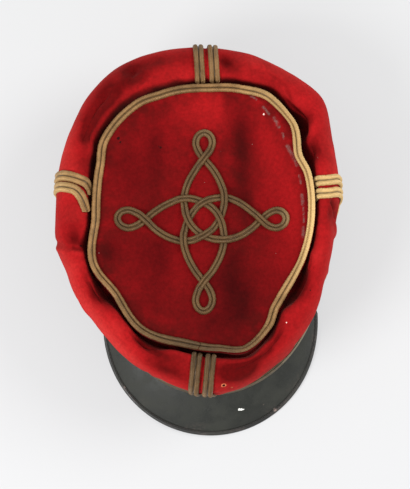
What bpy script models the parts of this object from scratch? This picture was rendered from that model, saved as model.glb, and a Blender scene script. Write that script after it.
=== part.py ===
# Kepi cap: a soft cloth crown on a stiff band, with a leather peak and flat soutache braid.
#
# The cap is modelled in its own frame, in metres. The band's lower edge is the plane z = 0 and the
# band's centre is on the Z axis. The back is +Y, the peak is -Y, and the wearer's left side is +X.
# An empty then leans the whole cap back on its peak, as it rests on a table, with the world's
# origin under the middle of its box.

import math
from collections import namedtuple

import bmesh
import bpy
from mathutils import Vector
from mathutils.bvhtree import BVHTree

# Head band
BAND_HALF_WIDTH = 0.084
BAND_HALF_LENGTH = 0.102
BAND_HEIGHT = 0.034
BAND_WALL = 0.003

# Cloth of the crown, and the clearance that pieces keep
CLOTH = 0.002
GAP = 0.0004

# Widest outline of the slouched crown, seen from above
CROWN_HALF_WIDTH = 0.1090
CROWN_HALF_LENGTH = 0.1302
CROWN_LEAN_BACK = 0.0190
CROWN_LEAN_SIDE = -0.0090

# Ring braid that edges the sunk top
RING_HALF_WIDTH = 0.0760
RING_HALF_LENGTH = 0.0967
RING_LEAN_BACK = 0.0141
RING_LEAN_SIDE = -0.0056
RING_HEIGHT = 0.085
RING_SLOPE_DEG = 4.5

# Roll of cloth round the top: its crest above the ring, and the groove's depth under the crest
ROLL_RISE = 0.004
GROOVE_DEPTH = 0.015

# Soutache braid
RING_BRAID_WIDTH = 0.0062
SIDE_BRAID_WIDTH = 0.0076
KNOT_BRAID_WIDTH = 0.0048
BRAID_HEIGHT = 0.0016
# Its ribs' crests, as a share of its half width, and its channel's level, as a share of its height
BRAID_CREST = 0.55
BRAID_CHANNEL = 0.62
# How far up the hem a side braid's slanted foot begins, as a share of its width, and how far down
# the groove's last facet its other end reaches
BRAID_FOOT = 0.35
BRAID_END = 0.5

# Knot on the top: the length of its side arms and of its front and back arms, the share by which
# one arm of each pair is longer than the other, and where its centre is from the ring's centre
KNOT_REACH_SIDE = 0.0615
KNOT_REACH_BACK = 0.0658
KNOT_LONGER_RIGHT = 0.028
KNOT_LONGER_FRONT = 0.025
KNOT_SHIFT_BACK = -0.0017
KNOT_SHIFT_SIDE = 0.0008

# Chin strap, a closed loop of flat braid drawn up in two layers over the peak, against the band,
# and held by a button at either end
STRAP_WIDTH = 0.0090
STRAP_THICKNESS = 0.0010
STRAP_FOLD = 0.0004
STRAP_CREST = 0.86
STRAP_CHANNEL = 0.80
STRAP_END_DEG = 88.0
BUTTON_RADIUS = 0.0065
BUTTON_RIM = 0.0012
BUTTON_RISE = 0.0026
BUTTON_INSET = 1.1

# Leather peak, with a rolled binding along its outer edge
PEAK_REACH = 0.0300
PEAK_DROP = 0.0210
PEAK_THICKNESS = 0.0025
PEAK_START = 0.0030
PEAK_CROWNING = 0.0016
PEAK_HALF_SPAN_DEG = 73.0
PEAK_TIP_WIDTH = 0.0020
PEAK_TOUCH_DEG = 42.0
BINDING_RADIUS = 0.0018

# A button's side from its foot up: radius and height over the rim, as shares of the button's
ButtonRing = namedtuple("ButtonRing", "radius rise")
BUTTON_RINGS = (
    ButtonRing(radius=1.00, rise=0.00),
    ButtonRing(radius=0.80, rise=0.45),
    ButtonRing(radius=0.45, rise=0.85),
)

# Facets
PANEL_COLUMNS = 16
STRAP_COLUMNS = 36
STRAP_TURN_STEPS = 3
BUTTON_SIDES = 16
PEAK_COLUMNS = 30
PEAK_ROWS = 4
BINDING_SIDES = 7
KNOT_STEPS = 2

# The seams between the four side panels, as azimuths in degrees from +X towards +Y, and the
# distance between the middles of the two braids beside each
Seam = namedtuple("Seam", "azimuth spacing")
SEAMS = {
    "left": Seam(azimuth=10.7, spacing=0.0095),
    "back": Seam(azimuth=87.9, spacing=0.0108),
    "right": Seam(azimuth=167.5, spacing=0.0084),
    "front": Seam(azimuth=270.7, spacing=0.0101),
}
PANELS = (
    ("side_back_left", "left", "back"),
    ("side_back_right", "back", "right"),
    ("side_front_right", "right", "front"),
    ("side_front_left", "front", "left"),
)

# A station tells by what share of its radius a closed outline stands out, or in if negative, at
# that azimuth. The outline is smooth between stations. The first station is at azimuth 0.
Station = namedtuple("Station", "azimuth push")
CROWN_STATIONS = (
    Station(azimuth=0, push=-0.043),
    Station(azimuth=29, push=0.013),
    Station(azimuth=44, push=0.098),
    Station(azimuth=54, push=0.068),
    Station(azimuth=60, push=0.050),
    Station(azimuth=69, push=0.022),
    Station(azimuth=93, push=-0.001),
    Station(azimuth=120, push=0.046),
    Station(azimuth=133, push=0.042),
    Station(azimuth=148, push=0.014),
    Station(azimuth=180, push=-0.029),
    Station(azimuth=192, push=-0.019),
    Station(azimuth=204, push=-0.049),
    Station(azimuth=213, push=-0.055),
    Station(azimuth=228, push=-0.073),
    Station(azimuth=240, push=-0.059),
    Station(azimuth=259, push=-0.032),
    Station(azimuth=276, push=0.020),
    Station(azimuth=300, push=-0.008),
    Station(azimuth=324, push=-0.052),
    Station(azimuth=333, push=-0.072),
    Station(azimuth=348, push=-0.073),
)
RING_STATIONS = (
    Station(azimuth=0, push=0.040),
    Station(azimuth=22, push=0.060),
    Station(azimuth=32, push=0.033),
    Station(azimuth=47, push=0.127),
    Station(azimuth=60, push=0.122),
    Station(azimuth=74, push=0.049),
    Station(azimuth=90, push=-0.006),
    Station(azimuth=108, push=0.023),
    Station(azimuth=120, push=0.078),
    Station(azimuth=142, push=0.117),
    Station(azimuth=154, push=0.062),
    Station(azimuth=180, push=0.025),
    Station(azimuth=203, push=0.106),
    Station(azimuth=224, push=0.017),
    Station(azimuth=240, push=0.039),
    Station(azimuth=262, push=-0.023),
    Station(azimuth=276, push=0.010),
    Station(azimuth=288, push=0.080),
    Station(azimuth=300, push=0.039),
    Station(azimuth=308, push=-0.028),
    Station(azimuth=316, push=-0.040),
    Station(azimuth=337, push=0.003),
)

# Sections of the side cloth, from the band up over the roll and down to the top's seam. out goes
# from the band's outline to the crown's widest one, inward from there to the seam. climb goes from
# the hem to the crest, sink from the crest to the groove's bottom, and rise from there to the seam.
Section = namedtuple("Section", "out inward climb sink rise")
SECTIONS = (
    Section(out=0.00, inward=0.00, climb=0.00, sink=0.00, rise=0.0),
    Section(out=0.28, inward=0.00, climb=0.13, sink=0.00, rise=0.0),
    Section(out=0.66, inward=0.00, climb=0.27, sink=0.00, rise=0.0),
    Section(out=0.91, inward=0.00, climb=0.44, sink=0.00, rise=0.0),
    Section(out=1.00, inward=0.00, climb=0.62, sink=0.00, rise=0.0),
    Section(out=1.00, inward=0.08, climb=0.80, sink=0.00, rise=0.0),
    Section(out=1.00, inward=0.26, climb=0.94, sink=0.00, rise=0.0),
    Section(out=1.00, inward=0.50, climb=1.00, sink=0.00, rise=0.0),
    Section(out=1.00, inward=0.71, climb=1.00, sink=0.06, rise=0.0),
    Section(out=1.00, inward=0.83, climb=1.00, sink=0.26, rise=0.0),
    Section(out=1.00, inward=0.89, climb=1.00, sink=0.66, rise=0.0),
    Section(out=1.00, inward=0.92, climb=1.00, sink=1.00, rise=0.0),
    Section(out=1.00, inward=1.00, climb=1.00, sink=1.00, rise=0.3),
    Section(out=1.00, inward=1.00, climb=1.00, sink=1.00, rise=1.0),
)
HEM, GROOVE_WALL = 0, 9

# Dents in the side cloth. depth is a share of the groove's depth, and section is where along the
# profile the dent is deepest, counted in rows of SECTIONS, with reach rows to either side.
Dent = namedtuple("Dent", "azimuth spread section reach depth")
DENTS = (
    Dent(azimuth=359, spread=6, section=5.6, reach=1.8, depth=0.30),
    Dent(azimuth=30, spread=5, section=8.3, reach=1.8, depth=0.40),
    Dent(azimuth=42, spread=4, section=8.8, reach=1.8, depth=0.42),
    Dent(azimuth=62, spread=7, section=7.8, reach=2.0, depth=0.18),
    Dent(azimuth=79, spread=4, section=7.2, reach=1.6, depth=0.26),
    Dent(azimuth=115, spread=5, section=6.8, reach=1.5, depth=0.30),
    Dent(azimuth=128, spread=6, section=7.2, reach=1.6, depth=0.32),
    Dent(azimuth=141, spread=7, section=7.2, reach=1.8, depth=0.34),
    Dent(azimuth=156, spread=5, section=8.2, reach=1.8, depth=0.20),
    Dent(azimuth=192, spread=4, section=7.6, reach=1.7, depth=0.26),
    Dent(azimuth=219, spread=7, section=8.4, reach=2.2, depth=0.40),
    Dent(azimuth=250, spread=7, section=8.6, reach=1.8, depth=0.24),
    Dent(azimuth=287, spread=7, section=7.6, reach=1.8, depth=0.18),
    Dent(azimuth=300, spread=6, section=7.6, reach=1.8, depth=0.24),
    Dent(azimuth=323, spread=8, section=8.8, reach=2.2, depth=0.40),
)

# Dips and ridges of the slack top. across and along place the middle as shares of the ring's half
# width and half length, wide and long are its half sizes in the same shares, and depth is a share
# of GROOVE_DEPTH, below zero for a ridge.
Dip = namedtuple("Dip", "across along wide long depth")
DIPS = (
    Dip(across=-0.34, along=-0.10, wide=0.34, long=0.85, depth=0.26),
    Dip(across=0.17, along=0.05, wide=0.26, long=0.75, depth=-0.16),
    Dip(across=0.54, along=0.28, wide=0.20, long=0.55, depth=0.26),
    Dip(across=0.42, along=-0.55, wide=0.22, long=0.42, depth=0.24),
    Dip(across=-0.10, along=-0.62, wide=0.26, long=0.36, depth=0.16),
)
TOP_SAG = 0.0030
# The share of the ring's radius inside which the top is flat, under the braid, and how steeply the
# dips grow inside that
TOP_FLAT_EDGE = 0.06
TOP_FADE = 2.2
# Rows of the top's facets, as shares of the way out from its middle
TOP_SHARES = (1.0, 0.915, 0.75, 0.56, 0.38, 0.20)

# One arm of the knot, from the middle of its loop's tip to the next arm's tip: ahead is along the
# first arm and aside is across it, towards the side that the cord takes first. Shares of the reach.
Turn = namedtuple("Turn", "ahead aside")
KNOT_TURNS = (
    Turn(ahead=1.000, aside=0.000),
    Turn(ahead=0.965, aside=0.070),
    Turn(ahead=0.880, aside=0.100),
    Turn(ahead=0.780, aside=0.068),
    Turn(ahead=0.690, aside=0.000),
    Turn(ahead=0.565, aside=-0.105),
    Turn(ahead=0.420, aside=-0.190),
    Turn(ahead=0.260, aside=-0.238),
    Turn(ahead=0.100, aside=-0.225),
    Turn(ahead=-0.060, aside=-0.150),
    Turn(ahead=-0.165, aside=-0.040),
    Turn(ahead=-0.222, aside=0.100),
    Turn(ahead=-0.235, aside=0.260),
    Turn(ahead=-0.190, aside=0.420),
    Turn(ahead=-0.105, aside=0.565),
    Turn(ahead=0.000, aside=0.690),
    Turn(ahead=0.068, aside=0.780),
    Turn(ahead=0.100, aside=0.880),
    Turn(ahead=0.070, aside=0.965),
)
# How far past another strand's middle the upper strand stays raised, and its slope's length
KNOT_HOLD = 0.0040
KNOT_SLOPE = 0.0048

RED_CLOTH = (0.42, 0.012, 0.016)
DARK_CLOTH = (0.012, 0.012, 0.016)
LEATHER = (0.030, 0.031, 0.028)
GOLD_BRAID = (0.38, 0.27, 0.12)
BUTTON_BRASS = (0.62, 0.42, 0.16)


def bell(offset, spread):
    return math.exp(-((offset / spread) ** 2))


def turn_between(first, second):
    """The angle from second to first, in degrees, from -180 to 180."""
    return (first - second + 180.0) % 360.0 - 180.0


def station_slope(stations, i):
    """How steeply the push changes at a station, flat where it is the highest or the lowest."""
    before, here, after = stations[i - 1], stations[i], stations[(i + 1) % len(stations)]
    coming = (here.push - before.push) / ((here.azimuth - before.azimuth) % 360.0)
    going = (after.push - here.push) / ((after.azimuth - here.azimuth) % 360.0)
    return 2.0 * coming * going / (coming + going) if coming * going > 0.0 else 0.0


def push_at(stations, azimuth):
    """The push between stations, on a smooth line that never goes past theirs."""
    i = max(k for k, s in enumerate(stations) if s.azimuth <= azimuth % 360.0)
    k = (i + 1) % len(stations)
    gap = (stations[k].azimuth - stations[i].azimuth) % 360.0
    t = (azimuth % 360.0 - stations[i].azimuth) / gap
    return (
        (1.0 + 2.0 * t) * (1.0 - t) ** 2 * stations[i].push
        + t * (1.0 - t) ** 2 * gap * station_slope(stations, i)
        + t * t * (3.0 - 2.0 * t) * stations[k].push
        + t * t * (t - 1.0) * gap * station_slope(stations, k)
    )


def oval(half_width, half_length, azimuth, stations=(), grow=0.0):
    """A point of a closed outline about its own centre, at that azimuth in degrees."""
    angle = math.radians(azimuth)
    across, along = math.cos(angle), math.sin(angle)
    radius = half_width * half_length / math.hypot(half_length * across, half_width * along)
    if stations:
        radius *= 1.0 + push_at(stations, azimuth)
    return Vector(((radius + grow) * across, (radius + grow) * along))


def band_outline(azimuth):
    return oval(BAND_HALF_WIDTH, BAND_HALF_LENGTH, azimuth)


def crown_outline(azimuth):
    point = oval(CROWN_HALF_WIDTH, CROWN_HALF_LENGTH, azimuth, CROWN_STATIONS)
    return point + Vector((CROWN_LEAN_SIDE, CROWN_LEAN_BACK))


def ring_outline(azimuth, grow=0.0):
    point = oval(RING_HALF_WIDTH, RING_HALF_LENGTH, azimuth, RING_STATIONS, grow)
    return point + Vector((RING_LEAN_SIDE, RING_LEAN_BACK))


def top_edge(azimuth):
    """The top's cut edge, just outside the ring braid's middle."""
    return ring_outline(azimuth, RING_BRAID_WIDTH / 2 - GAP)


def seam_outline(azimuth):
    """Where the side cloth meets the top from below, inside the top's edge."""
    return ring_outline(azimuth, RING_BRAID_WIDTH / 2 - GAP - CLOTH / 2)


def top_plane(y):
    return RING_HEIGHT + math.tan(math.radians(RING_SLOPE_DEG)) * (y - RING_LEAN_BACK)


def top_height(x, y):
    """Height of the top's upper face, with its sag and its dips, level with the plane at the ring."""
    across = (x - RING_LEAN_SIDE) / RING_HALF_WIDTH
    along = (y - RING_LEAN_BACK) / RING_HALF_LENGTH
    flat = Vector((x - RING_LEAN_SIDE, y - RING_LEAN_BACK))
    azimuth = math.degrees(math.atan2(flat.y, flat.x))
    ring = oval(RING_HALF_WIDTH, RING_HALF_LENGTH, azimuth, RING_STATIONS)
    inside = max(0.0, (1.0 - TOP_FLAT_EDGE) ** 2 - (flat.length / ring.length) ** 2)
    fade = min(1.0, TOP_FADE * inside)
    dips = sum(
        d.depth * bell(across - d.across, d.wide) * bell(along - d.along, d.long) for d in DIPS
    )
    return top_plane(y) - TOP_SAG * inside - GROOVE_DEPTH * dips * fade


def side_point(azimuth, row):
    """A point of the side cloth's outer face before its dents, at one row of SECTIONS."""
    section = SECTIONS[row]
    band, crown, seam = band_outline(azimuth), crown_outline(azimuth), seam_outline(azimuth)
    flat = band.lerp(crown, section.out) + (seam - crown) * section.inward
    hem = BAND_HEIGHT + GAP
    crest = top_plane(seam.y) + ROLL_RISE
    under_top = top_plane(seam.y) - CLOTH - GAP
    height = hem + (crest - hem) * section.climb - GROOVE_DEPTH * section.sink
    height += (under_top - height) * section.rise
    return Vector((flat.x, flat.y, height))


def dent_depth(azimuth, row):
    return GROOVE_DEPTH * sum(
        d.depth * bell(turn_between(azimuth, d.azimuth), d.spread) * bell(row - d.section, d.reach)
        for d in DENTS
    )


def side_column(azimuth):
    """The side cloth's outer face down one azimuth, dented along its own normal."""
    last = len(SECTIONS) - 1
    plain = [side_point(azimuth, row) for row in range(last + 1)]
    beside = [side_point(azimuth + 1.0, row) for row in range(last + 1)]
    column = []
    for row, point in enumerate(plain):
        up = plain[min(row + 1, last)] - plain[max(row - 1, 0)]
        out = (beside[row] - point).cross(up).normalized()
        ends_fade = min(1.0, row / 2.0, (last - row) / 3.0)
        column.append(point - out * dent_depth(azimuth, row) * ends_fade)
    return column


def column_normals(azimuth):
    """The dented cloth's outward normals down one azimuth."""
    column = side_column(azimuth)
    before, after = side_column(azimuth - 1.0), side_column(azimuth + 1.0)
    last = len(column) - 1
    normals = []
    for row in range(last + 1):
        up = column[min(row + 1, last)] - column[max(row - 1, 0)]
        normals.append((after[row] - before[row]).cross(up).normalized())
    return normals


def seam_facet(name):
    """How many degrees a seam's next facet takes, so that the braid beside it lies on it."""
    seam = SEAMS[name]
    reach = (seam.spacing + SIDE_BRAID_WIDTH) / 2 + 2 * GAP
    return math.degrees(reach / oval(RING_HALF_WIDTH, RING_HALF_LENGTH, seam.azimuth).length)


def panel_azimuths(start, end):
    """Azimuths of one panel's columns, from one seam to the next."""
    first = SEAMS[start].azimuth
    swing = (SEAMS[end].azimuth - first) % 360.0
    near, far = seam_facet(start), swing - seam_facet(end)
    steps = PANEL_COLUMNS - 2
    inner = [first + near + (far - near) * i / steps for i in range(steps + 1)]
    return [first, *inner, first + swing]


def round_azimuths():
    """The columns of all four panels once round, each seam's column once."""
    return [a for _, start, end in PANELS for a in panel_azimuths(start, end)[:-1]]


def new_material(name, colour, roughness, metallic=0.0):
    material = bpy.data.materials.new(name)
    material.use_nodes = True
    shader = material.node_tree.nodes["Principled BSDF"]
    shader.inputs["Base Color"].default_value = (*colour, 1.0)
    shader.inputs["Roughness"].default_value = roughness
    shader.inputs["Metallic"].default_value = metallic
    return material


def add_object(name, mesh, material, cap):
    mesh.materials.append(material)
    obj = bpy.data.objects.new(name, mesh)
    obj.parent = cap
    cap.users_collection[0].objects.link(obj)
    return obj


def mesh_from_rows(name, rows, close_rows=False, centre=None):
    """A mesh through rows of points. Each row may close, and the last may close to a centre."""
    body = bmesh.new()
    loops = [[body.verts.new(p) for p in row] for row in rows]
    count = len(rows[0])
    columns = count if close_rows else count - 1
    for lower, upper in zip(loops, loops[1:]):
        for i in range(columns):
            k = (i + 1) % count
            body.faces.new((lower[i], lower[k], upper[k], upper[i]))
    if centre is not None:
        middle = body.verts.new(centre)
        for i in range(columns):
            body.faces.new((loops[-1][i], loops[-1][(i + 1) % count], middle))
    mesh = bpy.data.meshes.new(name)
    body.to_mesh(mesh)
    body.free()
    return mesh


def closed_slab(name, upper, lower):
    """A closed solid between an upper face and a lower one, whose rows come in reverse order."""
    loops = upper + lower
    body = bmesh.new()
    verts = [[body.verts.new(p) for p in row] for row in loops]
    count = len(loops)
    for j in range(count):
        here, there = verts[j], verts[(j + 1) % count]
        for i in range(len(here) - 1):
            body.faces.new((here[i], here[i + 1], there[i + 1], there[i]))
    for end in (0, -1):
        for j in range(len(upper) - 1):
            k = count - 1 - j
            body.faces.new((verts[j][end], verts[j + 1][end], verts[k - 1][end], verts[k][end]))
    bmesh.ops.recalc_face_normals(body, faces=body.faces)
    mesh = bpy.data.meshes.new(name)
    body.to_mesh(mesh)
    body.free()
    return mesh


def thicken(obj, thickness):
    """Gives an open surface its thickness, behind its outward face."""
    modifier = obj.modifiers.new("Cloth", "SOLIDIFY")
    modifier.thickness = thickness
    modifier.offset = -1.0
    modifier.use_even_offset = True
    modifier.use_quality_normals = True


def braid_section(width):
    """The cross-section of soutache: two ribs with a channel between, as (across, above) pairs."""
    half = width / 2
    return (
        (-half, 0.0),
        (half, 0.0),
        (half * BRAID_CREST, BRAID_HEIGHT),
        (0.0, BRAID_HEIGHT * BRAID_CHANNEL),
        (-half * BRAID_CREST, BRAID_HEIGHT),
    )


def sweep(name, path, normals, section, closed):
    """A closed solid that carries a section along a path, turned to the normals beside it."""
    count = len(path)
    body = bmesh.new()
    rings = []
    for i, (point, normal) in enumerate(zip(path, normals)):
        before = path[i - 1] if closed or i else point
        after = path[(i + 1) % count] if closed or i < count - 1 else point
        along = (after - before).normalized()
        across = along.cross(normal).normalized()
        above = across.cross(along).normalized()
        rings.append([body.verts.new(point + across * a + above * b) for a, b in section])
    sides = len(section)
    for i in range(count if closed else count - 1):
        here, there = rings[i], rings[(i + 1) % count]
        for j in range(sides):
            k = (j + 1) % sides
            body.faces.new((here[j], here[k], there[k], there[j]))
    if not closed:
        body.faces.new(list(reversed(rings[0])))
        body.faces.new(rings[-1])
    bmesh.ops.recalc_face_normals(body, faces=body.faces)
    mesh = bpy.data.meshes.new(name)
    body.to_mesh(mesh)
    body.free()
    return mesh


def make_band(cap, cloth):
    """The stiff head band, an upright oval wall."""
    azimuths = round_azimuths()
    rows = []
    for height in (0.0, BAND_HEIGHT):
        rows.append([Vector((*band_outline(a), height)) for a in azimuths])
    band = add_object("band", mesh_from_rows("band", rows, close_rows=True), cloth, cap)
    thicken(band, BAND_WALL)
    return band


def make_side_panels(cap, cloth):
    """Four cloth panels that bulge over the band, roll over and sink to the top's seam."""
    for name, start, end in PANELS:
        azimuths = panel_azimuths(start, end)
        outer = [side_column(a) for a in azimuths]
        shrink_panel(outer)
        inner = []
        for azimuth, column in zip(azimuths, outer):
            inner.append([p - n * CLOTH for p, n in zip(column, column_normals(azimuth))])
        upper = [list(row) for row in zip(*outer)]
        lower = [list(row) for row in reversed(list(zip(*inner)))]
        panel = add_object(name, closed_slab(name, upper, lower), cloth, cap)
        panel.data.shade_smooth()


def shrink_panel(columns):
    """Draws a panel's two edge columns in by half the clearance, so that panels don't touch."""
    for edge, inner in ((0, 1), (-1, -2)):
        for row, point in enumerate(columns[edge]):
            towards = (columns[inner][row] - point).normalized()
            columns[edge][row] = point + towards * GAP / 2


def top_rows():
    """Rows of the top's upper face, from its edge to near its middle, and its middle point."""
    middle = Vector((RING_LEAN_SIDE, RING_LEAN_BACK))
    rows = []
    for share in TOP_SHARES:
        row = []
        for azimuth in round_azimuths():
            flat = middle.lerp(top_edge(azimuth), share)
            row.append(Vector((flat.x, flat.y, top_height(flat.x, flat.y))))
        rows.append(row)
    return rows, Vector((middle.x, middle.y, top_height(middle.x, middle.y)))


def make_top(cap, cloth):
    """The flat round top of the crown, slack and sunk inside the roll."""
    rows, middle = top_rows()
    mesh = mesh_from_rows("top", rows, close_rows=True, centre=middle)
    top = add_object("top", mesh, cloth, cap)
    thicken(top, CLOTH)
    top.data.shade_smooth()
    return top


def make_ring_braid(cap, gold):
    """Braid laid on the top's edge. It lies on the outermost row of the top's facets."""
    rows, _ = top_rows()
    path, normals = [], []
    for edge, inner in zip(rows[0], rows[1]):
        share = (RING_BRAID_WIDTH / 2 - GAP) / (edge - inner).length
        path.append(edge.lerp(inner, share))
    for i, point in enumerate(path):
        along = path[(i + 1) % len(path)] - path[i - 1]
        normals.append((rows[0][i] - rows[1][i]).cross(along).normalized())
    path = [p + n * GAP for p, n in zip(path, normals)]
    mesh = sweep("ring_braid", path, normals, braid_section(RING_BRAID_WIDTH), closed=True)
    add_object("ring_braid", mesh, gold, cap)


def side_braid_path(seam_azimuth, next_azimuth, offset):
    """Points and normals up the side cloth, beside a seam, on the facets next to it. The foot is
    far enough up for the corners of its slanted end to clear the band, and the other end stops
    short of the ring braid."""
    seam, beside = side_column(seam_azimuth), side_column(next_azimuth)
    points, sideways = [], []
    for row in range(HEM, GROOVE_WALL + 1):
        step = beside[row] - seam[row]
        points.append(seam[row] + step * (offset / step.length))
        sideways.append(step)
    first = points[1] - points[0]
    points[0] = points[0] + first * (BRAID_FOOT * SIDE_BRAID_WIDTH / first.length)
    points[-1] = points[-2].lerp(points[-1], BRAID_END)
    normals = []
    for i in range(len(points)):
        up = points[min(i + 1, len(points) - 1)] - points[max(i - 1, 0)]
        normals.append(sideways[i].cross(up).normalized())
    return points, normals


def make_side_braids(cap, gold):
    """A pair of braids over each seam of the side cloth, one on either side of it."""
    panel_after = {start: end for _, start, end in PANELS}
    panel_before = {end: start for _, start, end in PANELS}
    for name, seam in SEAMS.items():
        after = panel_azimuths(name, panel_after[name])[1]
        before = panel_azimuths(panel_before[name], name)[-2]
        for number, beside, turn in ((1, after, 1.0), (2, before, -1.0)):
            points, normals = side_braid_path(seam.azimuth, beside, seam.spacing / 2)
            normals = [n * turn for n in normals]
            points = [p + n * (1.5 * GAP) for p, n in zip(points, normals)]
            braid = f"braid_{name}_{number}"
            section = braid_section(SIDE_BRAID_WIDTH)
            add_object(braid, sweep(braid, points, normals, section, closed=False), gold, cap)


def smooth_loop(points, steps):
    """Points on a smooth closed curve through the given ones, a number of steps to each."""
    count = len(points)
    curve = []
    for i in range(count):
        a, b = points[i - 1], points[i]
        c, d = points[(i + 1) % count], points[(i + 2) % count]
        for step in range(steps):
            t = step / steps
            curve.append(
                0.5
                * (
                    2 * b
                    + (c - a) * t
                    + (2 * a - 5 * b + 4 * c - d) * t * t
                    + (3 * b - a - 3 * c + d) * t * t * t
                )
            )
    return curve


def knot_plan():
    """The knot's cord seen from above: one closed line of four like arms, each after the last."""
    turns = []
    for quarter in range(4):
        angle = math.radians(90.0 * (quarter + 1))
        ahead = Vector((math.cos(angle), math.sin(angle)))
        aside = Vector((-ahead.y, ahead.x))
        for t in KNOT_TURNS:
            point = ahead * t.ahead + aside * t.aside
            point.x *= KNOT_REACH_SIDE * (1.0 - KNOT_LONGER_RIGHT * point.x)
            point.y *= KNOT_REACH_BACK * (1.0 - KNOT_LONGER_FRONT * point.y)
            turns.append(point)
    middle = Vector((RING_LEAN_SIDE + KNOT_SHIFT_SIDE, RING_LEAN_BACK + KNOT_SHIFT_BACK))
    return [p + middle for p in smooth_loop(turns, KNOT_STEPS)]


def lengths_along(plan):
    """The length of a closed line up to each of its points, and its whole length at the end."""
    lengths = [0.0]
    for i, point in enumerate(plan):
        lengths.append(lengths[-1] + (plan[(i + 1) % len(plan)] - point).length)
    return lengths


def crossings(plan):
    """The two places, as lengths along, of each crossing of a closed flat line with itself."""
    found = []
    count = len(plan)
    lengths = lengths_along(plan)
    for i in range(count):
        a, b = plan[i], plan[(i + 1) % count]
        for j in range(i + 2, count):
            if (j + 1) % count == i:
                continue
            c, d = plan[j], plan[(j + 1) % count]
            ab, cd, ac = b - a, d - c, c - a
            area = ab.x * cd.y - ab.y * cd.x
            if abs(area) < 1e-15:
                continue
            s = (ac.x * cd.y - ac.y * cd.x) / area
            t = (ac.x * ab.y - ac.y * ab.x) / area
            if 0.0 <= s < 1.0 and 0.0 <= t < 1.0:
                found.append((lengths[i] + s * ab.length, lengths[j] + t * cd.length))
    return found


def knot_lifts(plan):
    """How far the cord is raised at each point. It goes over and under by turns, and clears the
    strand that it goes over."""
    lengths = lengths_along(plan)
    whole = lengths[-1]
    raise_by = BRAID_HEIGHT + 2 * GAP
    over = sorted(place for pair in crossings(plan) for place in pair)[1::2]
    lifts = []
    for i in range(len(plan)):
        lift = 0.0
        for place in over:
            off = abs((lengths[i] - place + whole / 2) % whole - whole / 2)
            ramp = min(1.0, max(0.0, 1.0 - (off - KNOT_HOLD) / KNOT_SLOPE))
            lift = max(lift, raise_by * ramp * ramp * (3.0 - 2.0 * ramp))
        lifts.append(lift)
    return lifts


def make_knot(cap, gold):
    """The looped braid on the top, one closed cord that weaves over and under itself."""
    rows, middle = top_rows()
    points = [p for row in rows for p in row] + [middle]
    count = len(rows[0])
    faces = []
    for j in range(len(rows) - 1):
        for i in range(count):
            k = (i + 1) % count
            faces.append((j * count + i, j * count + k, (j + 1) * count + k, (j + 1) * count + i))
    last = (len(rows) - 1) * count
    faces += [(last + i, last + (i + 1) % count, len(points) - 1) for i in range(count)]
    top = BVHTree.FromPolygons(points, faces)
    plan = knot_plan()
    path, normals = [], []
    above = 10 * GROOVE_DEPTH
    for flat, lift in zip(plan, knot_lifts(plan)):
        place, normal, _, _ = top.ray_cast(Vector((flat.x, flat.y, above)), Vector((0, 0, -1)))
        path.append(place + normal * (1.5 * GAP) + Vector((0, 0, lift)))
        normals.append(normal)
    mesh = sweep("knot_braid", path, normals, braid_section(KNOT_BRAID_WIDTH), closed=True)
    add_object("knot_braid", mesh, gold, cap)


def rest_angle():
    """How far the cap leans back, resting on the band's back edge and the peak's front edge."""
    return math.atan2(PEAK_DROP, 2 * BAND_HALF_LENGTH + PEAK_REACH)


def peak_reach(off_front):
    """How far the peak stands out of the band, at that many degrees from its front."""
    return PEAK_REACH * math.cos(math.radians(90.0 * off_front / PEAK_HALF_SPAN_DEG))


def peak_tip(reach):
    """How many degrees from the front the peak stands out only that far."""
    return PEAK_HALF_SPAN_DEG / 90.0 * math.degrees(math.acos(reach / PEAK_REACH))


def peak_point(off_front, share, clear=0.0):
    """A point halfway through the peak's thickness: share 0 is at the band, and share 1 is the
    binding's middle, or that far short of it."""
    azimuth = 270.0 + off_front
    band = band_outline(azimuth)
    beside = band_outline(azimuth + 1.0)
    out = Vector((beside.y - band.y, band.x - beside.x)).normalized()
    reach = peak_reach(off_front)
    edge = band + out * reach
    table = -(BAND_HALF_LENGTH - edge.y) * math.tan(rest_angle())
    laid = min(1.0, reach / peak_reach(PEAK_TOUCH_DEG))
    drop = table * laid * (2.0 - laid) + BINDING_RADIUS
    whole = reach - GAP - BINDING_RADIUS
    part = share * (1.0 - clear / whole)
    flat = band + out * (GAP + whole * part)
    height = PEAK_START + (drop - PEAK_START) * part
    height += PEAK_CROWNING * math.sin(math.pi * part) * laid
    return Vector((flat.x, flat.y, height))


def spread_angles(tip):
    return [tip * (2.0 * i / PEAK_COLUMNS - 1.0) for i in range(PEAK_COLUMNS + 1)]


def make_peak(cap, leather):
    """The leather peak, a crescent that slopes down from the front of the band."""
    clear = BINDING_RADIUS + GAP
    angles = spread_angles(peak_tip(2 * clear + PEAK_TIP_WIDTH))
    rise = Vector((0.0, 0.0, PEAK_THICKNESS / 2))
    middle = []
    for row in range(PEAK_ROWS + 1):
        middle.append([peak_point(a, row / PEAK_ROWS, clear) for a in angles])
    upper = [[p + rise for p in row] for row in middle]
    lower = [[p - rise for p in row] for row in reversed(middle)]
    add_object("peak", closed_slab("peak", upper, lower), leather, cap)


def make_binding(cap, leather):
    """The rolled binding round the peak's outer edge."""
    angles = spread_angles(peak_tip(2 * BINDING_RADIUS + GAP))
    path = [peak_point(a, 1.0) for a in angles]
    normals = [(p - peak_point(a, 0.8)).normalized() for p, a in zip(path, angles)]
    section = []
    for i in range(BINDING_SIDES):
        turn = 2 * math.pi * i / BINDING_SIDES
        section.append((BINDING_RADIUS * math.cos(turn), BINDING_RADIUS * math.sin(turn)))
    mesh = sweep("peak_binding", path, normals, section, closed=False)
    add_object("peak_binding", mesh, leather, cap)


def strap_height():
    """The middle of the strap's width, above the band's lower edge."""
    return PEAK_START + PEAK_THICKNESS / 2 + GAP + STRAP_WIDTH / 2


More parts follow.
